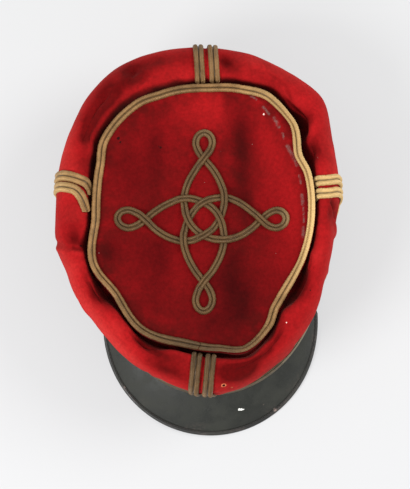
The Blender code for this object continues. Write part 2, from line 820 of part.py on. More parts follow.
def strap_place(off_front, away):
    """A point that far out from the band's face, at the middle of the strap, and the way out."""
    azimuth = 270.0 + off_front
    band, beside = band_outline(azimuth), band_outline(azimuth + 1.0)
    out = Vector((beside.y - band.y, band.x - beside.x, 0.0)).normalized()
    return Vector((band.x, band.y, strap_height())) + out * away, out


def strap_loop():
    """The strap's closed line, and the way out of the loop at each of its points: along the outer
    layer, round one end, back along the inner layer and round the other end."""
    inner = GAP + STRAP_THICKNESS
    angles = [STRAP_END_DEG * (2.0 * i / STRAP_COLUMNS - 1.0) for i in range(STRAP_COLUMNS + 1)]
    places = []
    for side, away in ((1.0, inner + STRAP_FOLD), (-1.0, inner)):
        for off_front in angles:
            point, out = strap_place(side * off_front, away)
            places.append((point, out * side))
        middle, out = strap_place(side * STRAP_END_DEG, inner + STRAP_FOLD / 2)
        ahead = Vector((-out.y, out.x, 0.0)) * side
        for step in range(1, STRAP_TURN_STEPS + 1):
            turn = math.pi * step / (STRAP_TURN_STEPS + 1)
            way = out * (side * math.cos(turn)) + ahead * math.sin(turn)
            places.append((middle + way * (STRAP_FOLD / 2), way))
    return places


def make_strap(cap, gold):
    """The flat chin strap, drawn up over the peak, from one button round the front to the other."""
    half = STRAP_WIDTH / 2
    section = (
        (-half, 0.0),
        (half, 0.0),
        (half * STRAP_CREST, STRAP_THICKNESS),
        (0.0, STRAP_THICKNESS * STRAP_CHANNEL),
        (-half * STRAP_CREST, STRAP_THICKNESS),
    )
    path, normals = zip(*strap_loop())
    add_object("chin_strap", sweep("chin_strap", path, normals, section, closed=True), gold, cap)


def make_buttons(cap, brass):
    """Two plain domed buttons that hold the strap's ends."""
    profile = [(BUTTON_RADIUS, 0.0)]
    for ring in BUTTON_RINGS:
        profile.append((BUTTON_RADIUS * ring.radius, BUTTON_RIM + BUTTON_RISE * ring.rise))
    inset = math.degrees(BUTTON_RADIUS * BUTTON_INSET / BAND_HALF_WIDTH)
    for name, side in (("button_left", 1.0), ("button_right", -1.0)):
        away = 2 * (GAP + STRAP_THICKNESS) + STRAP_FOLD
        centre, out = strap_place(side * (STRAP_END_DEG - inset), away)
        across = Vector((-out.y, out.x, 0.0))
        body = bmesh.new()
        rings = []
        for radius, rise in profile:
            ring = []
            for i in range(BUTTON_SIDES):
                turn = 2 * math.pi * i / BUTTON_SIDES
                flat = across * math.cos(turn) + Vector((0.0, 0.0, math.sin(turn)))
                ring.append(body.verts.new(centre + flat * radius + out * rise))
            rings.append(ring)
        crown = body.verts.new(centre + out * (BUTTON_RIM + BUTTON_RISE))
        for lower, upper in zip(rings, rings[1:]):
            for i in range(BUTTON_SIDES):
                k = (i + 1) % BUTTON_SIDES
                body.faces.new((lower[i], lower[k], upper[k], upper[i]))
        for i in range(BUTTON_SIDES):
            body.faces.new((rings[-1][i], rings[-1][(i + 1) % BUTTON_SIDES], crown))
        body.faces.new(list(reversed(rings[0])))
        bmesh.ops.recalc_face_normals(body, faces=body.faces)
        mesh = bpy.data.meshes.new(name)
        body.to_mesh(mesh)
        body.free()
        add_object(name, mesh, brass, cap)


def clear_scene():
    for obj in list(bpy.data.objects):
        bpy.data.objects.remove(obj, do_unlink=True)


def set_down(cap):
    """Leans the cap back as it rests, with the middle of its box's base at the origin."""
    cap.rotation_euler = (-rest_angle(), 0.0, 0.0)
    bpy.context.view_layer.update()
    graph = bpy.context.evaluated_depsgraph_get()
    corners = []
    for obj in cap.children:
        evaluated = obj.evaluated_get(graph)
        mesh = evaluated.to_mesh()
        corners += [evaluated.matrix_world @ v.co for v in mesh.vertices]
        evaluated.to_mesh_clear()
    lowest = [min(c[axis] for c in corners) for axis in range(3)]
    highest = [max(c[axis] for c in corners) for axis in range(3)]
    cap.location = (
        -(lowest[0] + highest[0]) / 2,
        -(lowest[1] + highest[1]) / 2,
        -lowest[2],
    )
    bpy.context.view_layer.update()


def main():
    clear_scene()
    collection = bpy.data.collections.new("kepi_cap")
    bpy.context.scene.collection.children.link(collection)
    cap = bpy.data.objects.new("kepi_at_rest", None)
    collection.objects.link(cap)

    red = new_material("red_cloth", RED_CLOTH, 0.95)
    dark = new_material("band_cloth", DARK_CLOTH, 0.95)
    leather = new_material("peak_leather", LEATHER, 0.55)
    gold = new_material("gold_braid", GOLD_BRAID, 0.5, 0.6)
    brass = new_material("button_brass", BUTTON_BRASS, 0.35, 1.0)

    make_band(cap, dark)
    make_side_panels(cap, red)
    make_top(cap, red)
    make_ring_braid(cap, gold)
    make_side_braids(cap, gold)
    make_knot(cap, gold)
    make_peak(cap, leather)
    make_binding(cap, leather)
    make_strap(cap, gold)
    make_buttons(cap, brass)
    set_down(cap)


main()
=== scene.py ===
# An old red cloth kepi with gold soutache, lying on a pale table as its own weight lays it.
# Everything is drawn in the cap's own frame, upright on its band: the back is +Y, the peak is -Y
# and the wearer's left is +X. onTable() then leans it back onto the table, where its solids are.

import math
import random
from functools import lru_cache, reduce

import bmesh
import bpy
import numpy
from mathutils import Matrix, Vector, noise


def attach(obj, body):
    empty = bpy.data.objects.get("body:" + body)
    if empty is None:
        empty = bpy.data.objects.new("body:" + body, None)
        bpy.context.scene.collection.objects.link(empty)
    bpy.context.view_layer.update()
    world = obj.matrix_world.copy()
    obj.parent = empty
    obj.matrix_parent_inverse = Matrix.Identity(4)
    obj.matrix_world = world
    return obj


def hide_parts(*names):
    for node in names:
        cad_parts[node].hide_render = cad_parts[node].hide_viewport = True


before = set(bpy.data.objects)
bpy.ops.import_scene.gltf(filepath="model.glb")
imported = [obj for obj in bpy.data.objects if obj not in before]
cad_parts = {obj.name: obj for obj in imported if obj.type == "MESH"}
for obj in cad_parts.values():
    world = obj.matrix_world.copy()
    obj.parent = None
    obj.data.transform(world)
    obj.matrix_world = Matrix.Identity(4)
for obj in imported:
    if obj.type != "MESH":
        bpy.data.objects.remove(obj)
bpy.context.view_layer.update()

body = "root"

# Where the cap's own frame sits on the table, and how far the cap leans back onto its peak
seat = dict(side=0.009287, back=-0.012055, lift=0.009243, peakDrop=0.0210, length=0.2340)
seat["lean"] = math.atan2(seat["peakDrop"], seat["length"])
onTable = (
    Matrix.Translation((seat["side"], seat["back"], seat["lift"]))
    @ Matrix.Rotation(-seat["lean"], 4, "X")
)


def bell(offset, spread):
    return math.exp(-((offset / spread) ** 2))


def turnBetween(first, second):  # degrees, from -180 to 180
    return (first - second + 180.0) % 360.0 - 180.0


def ease(value, low, high):  # 0 below low, 1 above high, smooth between
    share = min(1.0, max(0.0, (value - low) / (high - low)))
    return share * share * (3.0 - 2.0 * share)


def gridFaces(rows, columns, first=0, wrap=False):
    faces = []
    for j in range(rows - 1):
        for i in range(columns if wrap else columns - 1):
            k = (i + 1) % columns
            a, b = first + j * columns, first + (j + 1) * columns
            faces.append((a + i, a + k, b + k, b + i))
    return faces


def shellFaces(rows, columns):  # two like grids, one behind the other, closed round their edges
    total = rows * columns
    faces = gridFaces(rows, columns) + gridFaces(rows, columns, total)
    for i in range(columns - 1):
        for low in (0, (rows - 1) * columns):
            faces.append((low + i, low + i + 1, total + low + i + 1, total + low + i))
    for j in range(rows - 1):
        for low in (j * columns, j * columns + columns - 1):
            faces.append((low, low + columns, total + low + columns, total + low))
    return faces


def addObject(name, data):
    added = bpy.data.objects.new(name, data)
    bpy.context.scene.collection.objects.link(added)
    return added


def makePiece(name, points, faces, materials, uvs=None, paint=None):
    mesh = bpy.data.meshes.new(name)
    mesh.from_pydata([onTable @ p for p in points], [], faces)
    for key, values in (paint or {}).items():  # one number for each point
        mesh.attributes.new(key, "FLOAT", "POINT").data.foreach_set("value", values)
    if uvs:
        layer = mesh.uv_layers.new(name="cloth")
        corner = numpy.empty(len(mesh.loops), dtype=numpy.int32)
        mesh.loops.foreach_get("vertex_index", corner)
        layer.data.foreach_set("uv", numpy.array(uvs, dtype=numpy.float32)[corner].ravel())
    turned = bmesh.new()
    turned.from_mesh(mesh)
    bmesh.ops.recalc_face_normals(turned, faces=turned.faces)
    turned.to_mesh(mesh)
    turned.free()
    mesh.shade_smooth()
    for material in materials:
        mesh.materials.append(material)
    return addObject(name, mesh)


def hand(piece, slot, *nodes):  # gives a piece to the body, in place of its plain solids
    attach(piece, body)
    if nodes:
        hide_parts(*nodes)
    return piece


def addNode(tree, kind, inputs=None, **settings):
    node = tree.nodes.new(kind)
    for key, value in settings.items():
        setattr(node, key, value)
    for key, value in (inputs or {}).items():
        if isinstance(value, bpy.types.NodeSocket):
            tree.links.new(value, node.inputs[key])
        else:
            node.inputs[key].default_value = value
    return node


def newMaterial(name, **constants):
    material = bpy.data.materials.new(name)
    material.use_nodes = True
    tree = material.node_tree
    shader = tree.nodes["Principled BSDF"]
    for key, value in constants.items():
        shader.inputs[key.replace("_", " ")].default_value = value
    return material, tree, shader, addNode(tree, "ShaderNodeTexCoord").outputs["Object"]


def speckle(tree, place, scale, detail=3.0, rough=0.55):
    inputs = {"Vector": place, "Scale": scale, "Detail": detail, "Roughness": rough}
    return addNode(tree, "ShaderNodeTexNoise", inputs).outputs["Fac"]


def between(tree, value, low, high, first=0.0, last=1.0):
    inputs = {0: value, 1: low, 2: high, 3: first, 4: last}
    return addNode(tree, "ShaderNodeMapRange", inputs, interpolation_type="SMOOTHSTEP").outputs[0]


def sums(tree, operation, first, second):
    return addNode(tree, "ShaderNodeMath", {0: first, 1: second}, operation=operation).outputs[0]


def vectors(tree, operation, inputs):
    return addNode(tree, "ShaderNodeVectorMath", inputs, operation=operation).outputs


def highest(tree, masks):
    return reduce(lambda most, mask: sums(tree, "MAXIMUM", most, mask), masks)


def mixed(tree, share, first, second, mode="MIX"):
    inputs = {0: share}
    for socket, value in ((6, first), (7, second)):
        inputs[socket] = value if isinstance(value, bpy.types.NodeSocket) else (*value, 1.0)
    node = addNode(tree, "ShaderNodeMix", inputs, data_type="RGBA", blend_type=mode)
    return node.outputs[2]


def painted(tree, name):
    return addNode(tree, "ShaderNodeAttribute", attribute_name=name).outputs["Fac"]


def raggedPlace(tree, place, reach=0.0016):  # the same place, shifted a little, for uneven edges
    ragged = addNode(tree, "ShaderNodeTexNoise", {"Vector": place, "Scale": 900.0, "Detail": 2.0})
    shift = vectors(tree, "SUBTRACT", {0: ragged.outputs["Color"], 1: (0.5, 0.5, 0.5)})[0]
    return vectors(tree, "MULTIPLY_ADD", {0: shift, 1: (reach, reach, reach), 2: place})[0]


def crumbSpots(tree, place, scale, low, high, most):  # small specks, and a number for each
    crumbs = addNode(tree, "ShaderNodeTexVoronoi", {"Vector": place, "Scale": scale}).outputs
    return between(tree, crumbs["Distance"], low, high, most, 0.0), crumbs["Color"]


def diagonal(tree, place, scale, distortion):
    inputs = {"Vector": place, "Scale": scale, "Distortion": distortion}
    return addNode(tree, "ShaderNodeTexWave", inputs, wave_type="BANDS",
                   bands_direction="DIAGONAL").outputs["Fac"]


def nearSpots(tree, place, spots):  # 1 inside any of the spots, each a point and a radius
    found, moved = [], raggedPlace(tree, place)
    for spot, radius in spots:
        away = vectors(tree, "DISTANCE", {0: moved, 1: tuple(onTable @ spot)})["Value"]
        found.append(between(tree, away, radius * 0.75, radius * 1.15, 1.0, 0.0))
    return highest(tree, found)


def nearLines(tree, place, lines):  # 1 along any of the lines, each two points and a half width
    found, moved = [], raggedPlace(tree, place)
    for start, end, width in lines:
        start, end = onTable @ start, onTable @ end
        run = end - start
        away = vectors(tree, "SUBTRACT", {0: moved, 1: tuple(start)})[0]
        way = tuple(run / run.length_squared)
        share = vectors(tree, "DOT_PRODUCT", {0: away, 1: way})["Value"]
        held = addNode(
            tree, "ShaderNodeMath", {0: share, 1: 1.0}, operation="MULTIPLY", use_clamp=True).outputs[0]
        along = vectors(tree, "SCALE", {0: tuple(run), "Scale": held})[0]
        off = vectors(tree, "DISTANCE", {0: away, 1: along})["Value"]
        found.append(between(tree, off, width * 0.2, width * 1.5, 1.0, 0.0))
    return highest(tree, found)


def bumps(tree, shader, *layers):  # each layer is (height socket, strength, distance in metres)
    normal = None
    for height, strength, distance in layers:
        inputs = {"Height": height, "Strength": strength, "Distance": distance}
        if normal:
            inputs["Normal"] = normal
        normal = addNode(tree, "ShaderNodeBump", inputs).outputs["Normal"]
    tree.links.new(normal, shader.inputs["Normal"])


band = dict(halfWidth=0.084, halfLength=0.102, height=0.034, wall=0.003, clear=0.0004)
crown = dict(
    halfWidth=0.1090, halfLength=0.1302, side=-0.0090, back=0.0190,
    cloth=0.0020, rise=0.0040, groove=0.0150,
    # where the slack cloth stands out of a plain oval, or in: azimuth, share of the radius
    stations=(
        (0, -0.043), (29, 0.013), (44, 0.098), (54, 0.068), (60, 0.050), (69, 0.022),
        (93, -0.001), (120, 0.046), (133, 0.042), (148, 0.014), (180, -0.029), (192, -0.019),
        (204, -0.049), (213, -0.055), (228, -0.073), (240, -0.059), (259, -0.032), (276, 0.020),
        (300, -0.008), (324, -0.052), (333, -0.072), (348, -0.073),
    ),
)
ring = dict(
    halfWidth=0.0760, halfLength=0.0967, side=-0.0056, back=0.0141, height=0.085, slope=4.5,
    braid=0.0062,
    stations=(
        (0, 0.040), (22, 0.060), (32, 0.033), (47, 0.127), (60, 0.122), (74, 0.049),
        (90, -0.006), (108, 0.023), (120, 0.078), (142, 0.117), (154, 0.062), (180, 0.025),
        (203, 0.106), (224, 0.017), (240, 0.039), (262, -0.023), (276, 0.010), (288, 0.080),
        (300, 0.039), (308, -0.028), (316, -0.040), (337, 0.003),
    ),
)
# The side cloth from the hem over the roll to the top's seam: out, inward, climb, sink, rise
profile = (
    (0.00, 0.00, 0.00, 0.00, 0.0),
    (0.28, 0.00, 0.13, 0.00, 0.0),
    (0.66, 0.00, 0.27, 0.00, 0.0),
    (0.91, 0.00, 0.44, 0.00, 0.0),
    (1.00, 0.00, 0.62, 0.00, 0.0),
    (1.00, 0.08, 0.80, 0.00, 0.0),
    (1.00, 0.26, 0.94, 0.00, 0.0),
    (1.00, 0.50, 1.00, 0.00, 0.0),
    (1.00, 0.71, 1.00, 0.06, 0.0),
    (1.00, 0.83, 1.00, 0.26, 0.0),
    (1.00, 0.88, 1.00, 0.66, 0.0),
    (1.00, 0.91, 1.00, 1.00, 0.0),
    (1.00, 1.00, 1.00, 1.00, 0.3),
    (1.00, 1.00, 1.00, 1.00, 1.0),
)
lastRow = len(profile) - 1


def stationSlope(stations, i):  # flat where the push is the highest or the lowest
    before, here, after = stations[i - 1], stations[i], stations[(i + 1) % len(stations)]
    coming = (here[1] - before[1]) / ((here[0] - before[0]) % 360.0)
    going = (after[1] - here[1]) / ((after[0] - here[0]) % 360.0)
    return 2.0 * coming * going / (coming + going) if coming * going > 0.0 else 0.0


@lru_cache(maxsize=None)
def pushAt(stations, azimuth):
    i = max(k for k, station in enumerate(stations) if station[0] <= azimuth % 360.0)
    k = (i + 1) % len(stations)
    gap = (stations[k][0] - stations[i][0]) % 360.0
    t = (azimuth % 360.0 - stations[i][0]) / gap
    return (
        (1.0 + 2.0 * t) * (1.0 - t) ** 2 * stations[i][1]
        + t * (1.0 - t) ** 2 * gap * stationSlope(stations, i)
        + t * t * (3.0 - 2.0 * t) * stations[k][1]
        + t * t * (t - 1.0) * gap * stationSlope(stations, k)
    )


def oval(halfWidth, halfLength, azimuth, stations=(), grow=0.0):
    angle = math.radians(azimuth)
    across, along = math.cos(angle), math.sin(angle)
    radius = halfWidth * halfLength / math.hypot(halfLength * across, halfWidth * along)
    if stations:
        radius *= 1.0 + pushAt(stations, azimuth)
    return Vector(((radius + grow) * across, (radius + grow) * along))


def bandOutline(azimuth):
    return oval(band["halfWidth"], band["halfLength"], azimuth)


def bandFace(azimuth, step=1.0):  # a point of the band's outer face in plan, and the way out of it
    foot, beside = bandOutline(azimuth), bandOutline(azimuth + step)
    return foot, Vector((beside.y - foot.y, foot.x - beside.x)).normalized()


def crownOutline(azimuth):
    point = oval(crown["halfWidth"], crown["halfLength"], azimuth, crown["stations"])
    return point + Vector((crown["side"], crown["back"]))


def ringOutline(azimuth, grow=0.0):
    point = oval(ring["halfWidth"], ring["halfLength"], azimuth, ring["stations"], grow)
    return point + Vector((ring["side"], ring["back"]))


def topPlane(y):
    return ring["height"] + math.tan(math.radians(ring["slope"])) * (y - ring["back"])


def steepness(rows):  # slopes through the profile's rows that never overshoot them
    slopes = []
    for i in range(len(rows)):
        low, high = max(i - 1, 0), min(i + 1, len(rows) - 1)
        slope = []
        for here, before, after in zip(rows[i], rows[low], rows[high]):
            rise, run = here - before, after - here
            if low == i or high == i:
                slope.append(rise + run)
            else:
                slope.append(2.0 * rise * run / (rise + run) if rise * run > 0.0 else 0.0)
        slopes.append(slope)
    return slopes


profileSlopes = steepness(profile)


@lru_cache(maxsize=None)
def profileAt(row):
    i = min(int(row), lastRow - 1)
    t = row - i
    weights = ((1 + 2 * t) * (1 - t) ** 2, t * (1 - t) ** 2, t * t * (3 - 2 * t), t * t * (t - 1))
    parts = zip(profile[i], profileSlopes[i], profile[i + 1], profileSlopes[i + 1])
    return [sum(w * v for w, v in zip(weights, part)) for part in parts]


@lru_cache(maxsize=None)
def outlinesAt(azimuth):
    seam = ringOutline(azimuth, ring["braid"] / 2 - band["clear"] - crown["cloth"] / 2)
    crest = topPlane(seam.y) + crown["rise"]
    under = topPlane(seam.y) - crown["cloth"] - band["clear"]
    return bandOutline(azimuth), crownOutline(azimuth), seam, crest, under


def sidePoint(azimuth, row):  # the side cloth before anything is pressed into it
    out, inward, climb, sink, rise = profileAt(row)
    foot, wide, seam, crest, under = outlinesAt(azimuth)
    flat = foot.lerp(wide, out) + (seam - wide) * inward
    hem = band["height"] + band["clear"]
    height = hem + (crest - hem) * climb - crown["groove"] * sink
    height += (under - height) * rise
    return Vector((flat.x, flat.y, height))


# Dents in the side cloth, as in the solids: azimuth, spread, row, reach in rows, share of the groove
dents = (
    (359, 6, 5.6, 1.8, 0.30), (30, 5, 8.3, 1.8, 0.40), (42, 4, 8.8, 1.8, 0.42),
    (62, 7, 7.8, 2.0, 0.18), (79, 4, 7.2, 1.6, 0.26), (115, 5, 6.8, 1.5, 0.30),
    (128, 6, 7.2, 1.6, 0.32), (141, 7, 7.2, 1.8, 0.34), (156, 5, 8.2, 1.8, 0.20),
    (192, 4, 7.6, 1.7, 0.26), (219, 7, 8.4, 2.2, 0.40), (250, 7, 8.6, 1.8, 0.24),
    (287, 7, 7.6, 1.8, 0.18), (300, 6, 7.6, 1.8, 0.24), (323, 8, 8.8, 2.2, 0.40),
)
# Smaller hollows (and bulges, below 0): azimuth, spread, row, reach in rows, depth in millimetres
hollows = (
    (130, 4.0, 6.4, 0.9, 3.0), (138, 6.0, 6.8, 0.8, 2.2), (146, 3.5, 6.9, 1.0, 3.2),
    (142, 2.5, 8.3, 0.7, 1.6), (115, 2.6, 6.1, 0.7, 3.0), (105, 6.0, 6.4, 0.8, 2.2),
    (81, 2.0, 6.8, 0.6, 3.2), (70, 6.0, 6.4, 0.9, -1.0), (94, 5.0, 7.0, 0.8, 1.2),
    (47, 4.0, 9.0, 0.8, 1.4), (31, 5.0, 8.9, 0.9, 0.8), (38, 4.0, 7.6, 0.8, -0.9),
    (16, 5.0, 6.9, 1.0, -0.6), (324, 2.6, 6.2, 0.7, 1.2), (320, 8.0, 9.3, 1.1, 3.4),
    (337, 7.0, 7.4, 1.2, -0.8), (296, 1.8, 6.6, 0.5, 1.3), (284, 7.0, 6.9, 0.9, 2.6),
    (258, 9.0, 7.3, 0.9, 1.6), (246, 4.0, 8.3, 0.8, 3.4), (235, 5.0, 6.8, 0.9, -0.7),
    (219, 3.0, 6.6, 0.8, 2.6), (214, 5.0, 7.7, 0.8, 1.6), (206, 5.0, 6.4, 1.1, -1.2),
    (195, 3.0, 8.9, 0.7, 2.0), (182, 6.0, 7.0, 1.2, -0.7), (154, 5.0, 6.0, 1.1, -0.9),
)
# Finer creases, each from one azimuth and row to another: width and depth in millimetres
creases = (
    (190, 3.6, 197, 6.6, 2.2, 2.2), (196, 6.2, 197, 8.9, 2.0, 2.0), (213, 6.6, 222, 7.1, 2.4, 1.3),
    (5, 6.6, 0, 4.8, 2.2, 3.2), (0, 5.0, 355, 2.6, 2.8, 3.0), (72, 8.4, 70, 7.3, 1.5, 0.9),
    (70, 7.4, 65, 7.0, 1.5, 0.8), (65, 7.0, 57, 7.3, 1.6, 0.9), (57, 7.2, 52, 8.4, 1.8, 1.3),
    (55, 8.8, 44, 8.7, 2.2, 2.4), (118, 8.7, 110, 7.4, 1.4, 0.9), (112, 7.3, 108, 8.0, 1.2, 0.7),
    (103, 8.3, 100, 8.6, 1.2, 0.8), (128, 6.4, 139, 6.9, 2.6, 1.5), (115, 6.2, 119, 8.0, 2.0, 1.0),
    (250, 7.2, 244, 8.6, 2.4, 2.0), (244, 6.6, 238, 7.4, 2.4, 0.9), (287, 7.6, 296, 6.6, 2.0, 0.8),
    (316, 6.8, 323, 6.2, 2.0, 0.9), (338, 8.4, 330, 8.2, 1.8, 1.0), (148, 8.4, 143, 7.6, 1.6, 0.9),
)
# The slack of the cloth below the roll: creases of one size or another, always the same ones
slack = dict(count=46, seed=11, row=(0.4, 2.4), turn=(2.0, 9.0), climb=(0.8, 2.0),
             width=(2.0, 4.6), depth=(0.6, 2.2))
# Small unevenness in metres. A degree and a row are about so many millimetres of cloth. A crease's
# end, its ridge and how far aside the ridge is are shares of its depth and width.
rumples = dict(soft=0.0009, fine=0.00028, pleats=0.0015, tucks=0.0011,
               degree=1.9, row=8.5, farthest=60.0, crease=(0.12, 0.4, 1.8))


def slackCreases():
    chance, found = random.Random(slack["seed"]), []
    for number in range(slack["count"]):
        azimuth = 360.0 * (number + chance.random()) / slack["count"]
        row, side = chance.uniform(*slack["row"]), chance.choice((-1.0, 1.0))
        found.append((
            azimuth, row, azimuth + side * chance.uniform(*slack["turn"]),
            row + chance.uniform(*slack["climb"]), chance.uniform(*slack["width"]),
            chance.uniform(*slack["depth"]),
        ))
    return tuple(found)


creases += slackCreases()


# The share of a crease's depth at x, y, when it runs from 0, 0 to farX, farY, all in millimetres.
# It is shallow at its ends and has a low ridge along one side.
def creaseShare(x, y, farX, farY, width, ends, ridge, aside):
    held = min(1.0, max(0.0, (x * farX + y * farY) / (farX * farX + farY * farY)))
    off = math.hypot(x - farX * held, y - farY * held)
    if off > 4.0 * width:
        return 0.0
    side = math.copysign(off, x * farY - y * farX)
    taper = (ends + 4.0 * held * (1.0 - held)) / (1.0 + ends)
    return taper * (bell(off, width) - ridge * bell(side - aside * width, width))


def creaseDepth(azimuth, row):  # millimetres
    total = 0.0
    for startTurn, startRow, endTurn, endRow, width, depth in creases:
        x = turnBetween(azimuth, startTurn) * rumples["degree"]
        if abs(x) < rumples["farthest"]:
            total += depth * creaseShare(
                x, (row - startRow) * rumples["row"],
                turnBetween(endTurn, startTurn) * rumples["degree"],
                (endRow - startRow) * rumples["row"], width, *rumples["crease"])
    return total


def rumple(point, azimuth, row):  # metres outward: the cloth's own small unevenness
    angle = math.radians(azimuth)
    around = Vector((math.cos(angle), math.sin(angle), 0.0))
    lift = rumples["soft"] * noise.noise(point * 30.0)
    lift += rumples["fine"] * noise.noise(point * 95.0)
    pleat = noise.noise(around * 6.5 + Vector((0.0, 0.0, row * 0.30)))
    lift += rumples["pleats"] * pleat * bell(row - 1.8, 1.7)
    tuck = noise.noise(around * 11.0 + Vector((0.0, 0.0, 7.0 + row * 0.45)))
    lift += rumples["tucks"] * tuck * bell(row - 8.8, 1.5)
    return lift


def pressedIn(azimuth, row):
    depth = crown["groove"] * sum(
        share * bell(turnBetween(azimuth, at), spread) * bell(row - middle, reach)
        for at, spread, middle, reach, share in dents
    )
    for at, spread, middle, reach, deep in hollows:
        depth += 0.001 * deep * bell(turnBetween(azimuth, at), spread) * bell(row - middle, reach)
    return depth + 0.001 * creaseDepth(azimuth, row)


def sideFace(azimuth, row):  # a point of the finished side cloth, and the way out of it
    step = 0.05
    low, high = max(0.0, row - step), min(lastRow, row + step)
    point = sidePoint(azimuth, row)
    around = sidePoint(azimuth + 0.25, row) - sidePoint(azimuth - 0.25, row)
    up = sidePoint(azimuth, high) - sidePoint(azimuth, low)
    out = around.cross(up).normalized()
    ends = min(1.0, row / 2.0, (lastRow - row) / 3.0)
    move = rumple(point, azimuth, row) - pressedIn(azimuth, row)
    return point + out * (move * ends), out


# Slack dips and ridges of the top, as in the solids: across, along, wide, long, share of the groove
dips = (
    (-0.34, -0.10, 0.34, 0.85, 0.26), (0.17, 0.05, 0.26, 0.75, -0.16),
    (0.54, 0.28, 0.20, 0.55, 0.26), (0.42, -0.55, 0.22, 0.42, 0.24),
    (-0.10, -0.62, 0.26, 0.36, 0.16),
)
top = dict(sag=0.0030, flatEdge=0.06, fade=2.2, wave=0.0011, ripple=0.00030, spokes=320, rings=74,
           fold=(0.15, 0.5, 1.9))
# Folds across the top: from (across, along) to (across, along), width and depth in millimetres
folds = (
    (0.26, 1.00, 0.40, 0.55, 4.5, 1.0), (0.40, 0.60, 0.41, 0.05, 5.5, 0.9),
    (-0.46, 0.80, -0.44, 0.15, 6.0, 0.8), (-0.44, -0.15, -0.38, -0.80, 6.5, 1.0),
    (0.36, -0.30, 0.28, -0.88, 7.0, 1.2), (0.80, 0.75, 0.62, 0.30, 5.0, -0.6),
    (-0.92, -0.25, -0.70, -0.34, 4.0, 0.9), (-0.05, -0.70, 0.10, -0.92, 4.0, 0.6),
    (-0.84, 0.62, -0.60, 0.35, 4.0, 0.6), (0.70, -0.40, 0.52, -0.75, 4.0, 0.7),
    (0.05, 0.95, 0.02, 0.70, 4.0, -0.5),
)


def topHeight(x, y):
    across, along = (x - ring["side"]) / ring["halfWidth"], (y - ring["back"]) / ring["halfLength"]
    flat = Vector((x - ring["side"], y - ring["back"]))
    azimuth = math.degrees(math.atan2(flat.y, flat.x))
    reach = oval(ring["halfWidth"], ring["halfLength"], azimuth, ring["stations"]).length
    inside = max(0.0, (1.0 - top["flatEdge"]) ** 2 - (flat.length / reach) ** 2)
    slack = min(1.0, top["fade"] * inside)
    slack = slack * slack * (3.0 - 2.0 * slack)
    low = crown["groove"] * sum(
        share * bell(across - u, wide) * bell(along - v, long) for u, v, wide, long, share in dips
    )
    wideMm, longMm = 1000.0 * ring["halfWidth"], 1000.0 * ring["halfLength"]
    for u, v, farU, farV, width, depth in folds:
        low += 0.001 * depth * creaseShare(
            (across - u) * wideMm, (along - v) * longMm, (farU - u) * wideMm, (farV - v) * longMm,
            width, *top["fold"])
    spot = Vector((x, y, 0.3))
    lift = top["wave"] * noise.noise(spot * 26.0) + top["ripple"] * noise.noise(spot * 90.0)
    return topPlane(y) - top["sag"] * inside - (low - lift) * slack


def topFace(x, y):  # a point of the top and the way out of it
    step = 0.0008
    slopeX = (topHeight(x + step, y) - topHeight(x - step, y)) / (2 * step)
    slopeY = (topHeight(x, y + step) - topHeight(x, y - step)) / (2 * step)
    return Vector((x, y, topHeight(x, y))), Vector((-slopeX, -slopeY, 1.0)).normalized()


print("form ready")


# Tones of the red cloth: deep is the tone of the painted shade, pale the tone of the painted light. The
# top is the same cloth as the side; its darker tones are painted shade.
redCloth = dict(
    side=dict(deep=(0.095, 0.0014, 0.0018), red=(0.33, 0.0072, 0.0085), pale=(0.48, 0.026, 0.023)),
    top=dict(deep=(0.042, 0.0008, 0.0012), red=(0.178, 0.0030, 0.0040), pale=(0.41, 0.0085, 0.0100)),
    soilAndShade=(0.024, 0.003, 0.002), lint=(0.56, 0.40, 0.36), worn=(0.155, 0.095, 0.085),
    stain=(0.020, 0.003, 0.003), hole=(0.020, 0.004, 0.003), frayed=(0.70, 0.20, 0.09),
    fleck=(0.90, 0.62, 0.55), nap=0.00022, weave=0.00010,
)
# Marks on the cloth. On the side: azimuth, row, radius. On the top: across, along, radius.
sideMarks = dict(
    hole=((278.0, 5.2, 0.0013), (280.6, 4.6, 0.0005), (150.0, 2.2, 0.0009), (64.0, 2.8, 0.0008)),
    stain=((195.0, 9.0, 0.0008), (324.0, 6.2, 0.0005)),
    fleck=((307.0, 7.2, 0.00045), (88.0, 3.0, 0.0004)),
)
topMarks = dict(
    hole=(),
    stain=((-0.82, 0.60, 0.0013), (-0.80, 0.57, 0.0008), (-0.41, 0.54, 0.0008), (-0.43, 0.55, 0.0005)),
    fleck=((0.59, 0.79, 0.0006),),
)
# Where the top's nap is rubbed through: from (across, along) to (across, along), half width
rubs = (
    (0.455, 0.935, 0.520, 0.905, 0.0008), (0.585, 0.845, 0.640, 0.790, 0.0010),
    (0.690, 0.760, 0.735, 0.690, 0.0013), (0.770, 0.640, 0.780, 0.600, 0.0008),
    (0.815, 0.540, 0.860, 0.470, 0.0014), (0.870, 0.450, 0.905, 0.390, 0.0012),
    (0.925, 0.310, 0.940, 0.250, 0.0008), (0.950, 0.160, 0.955, 0.090, 0.0012),
    (0.962, 0.060, 0.965, -0.050, 0.0007), (0.960, -0.090, 0.955, -0.160, 0.0011),
)


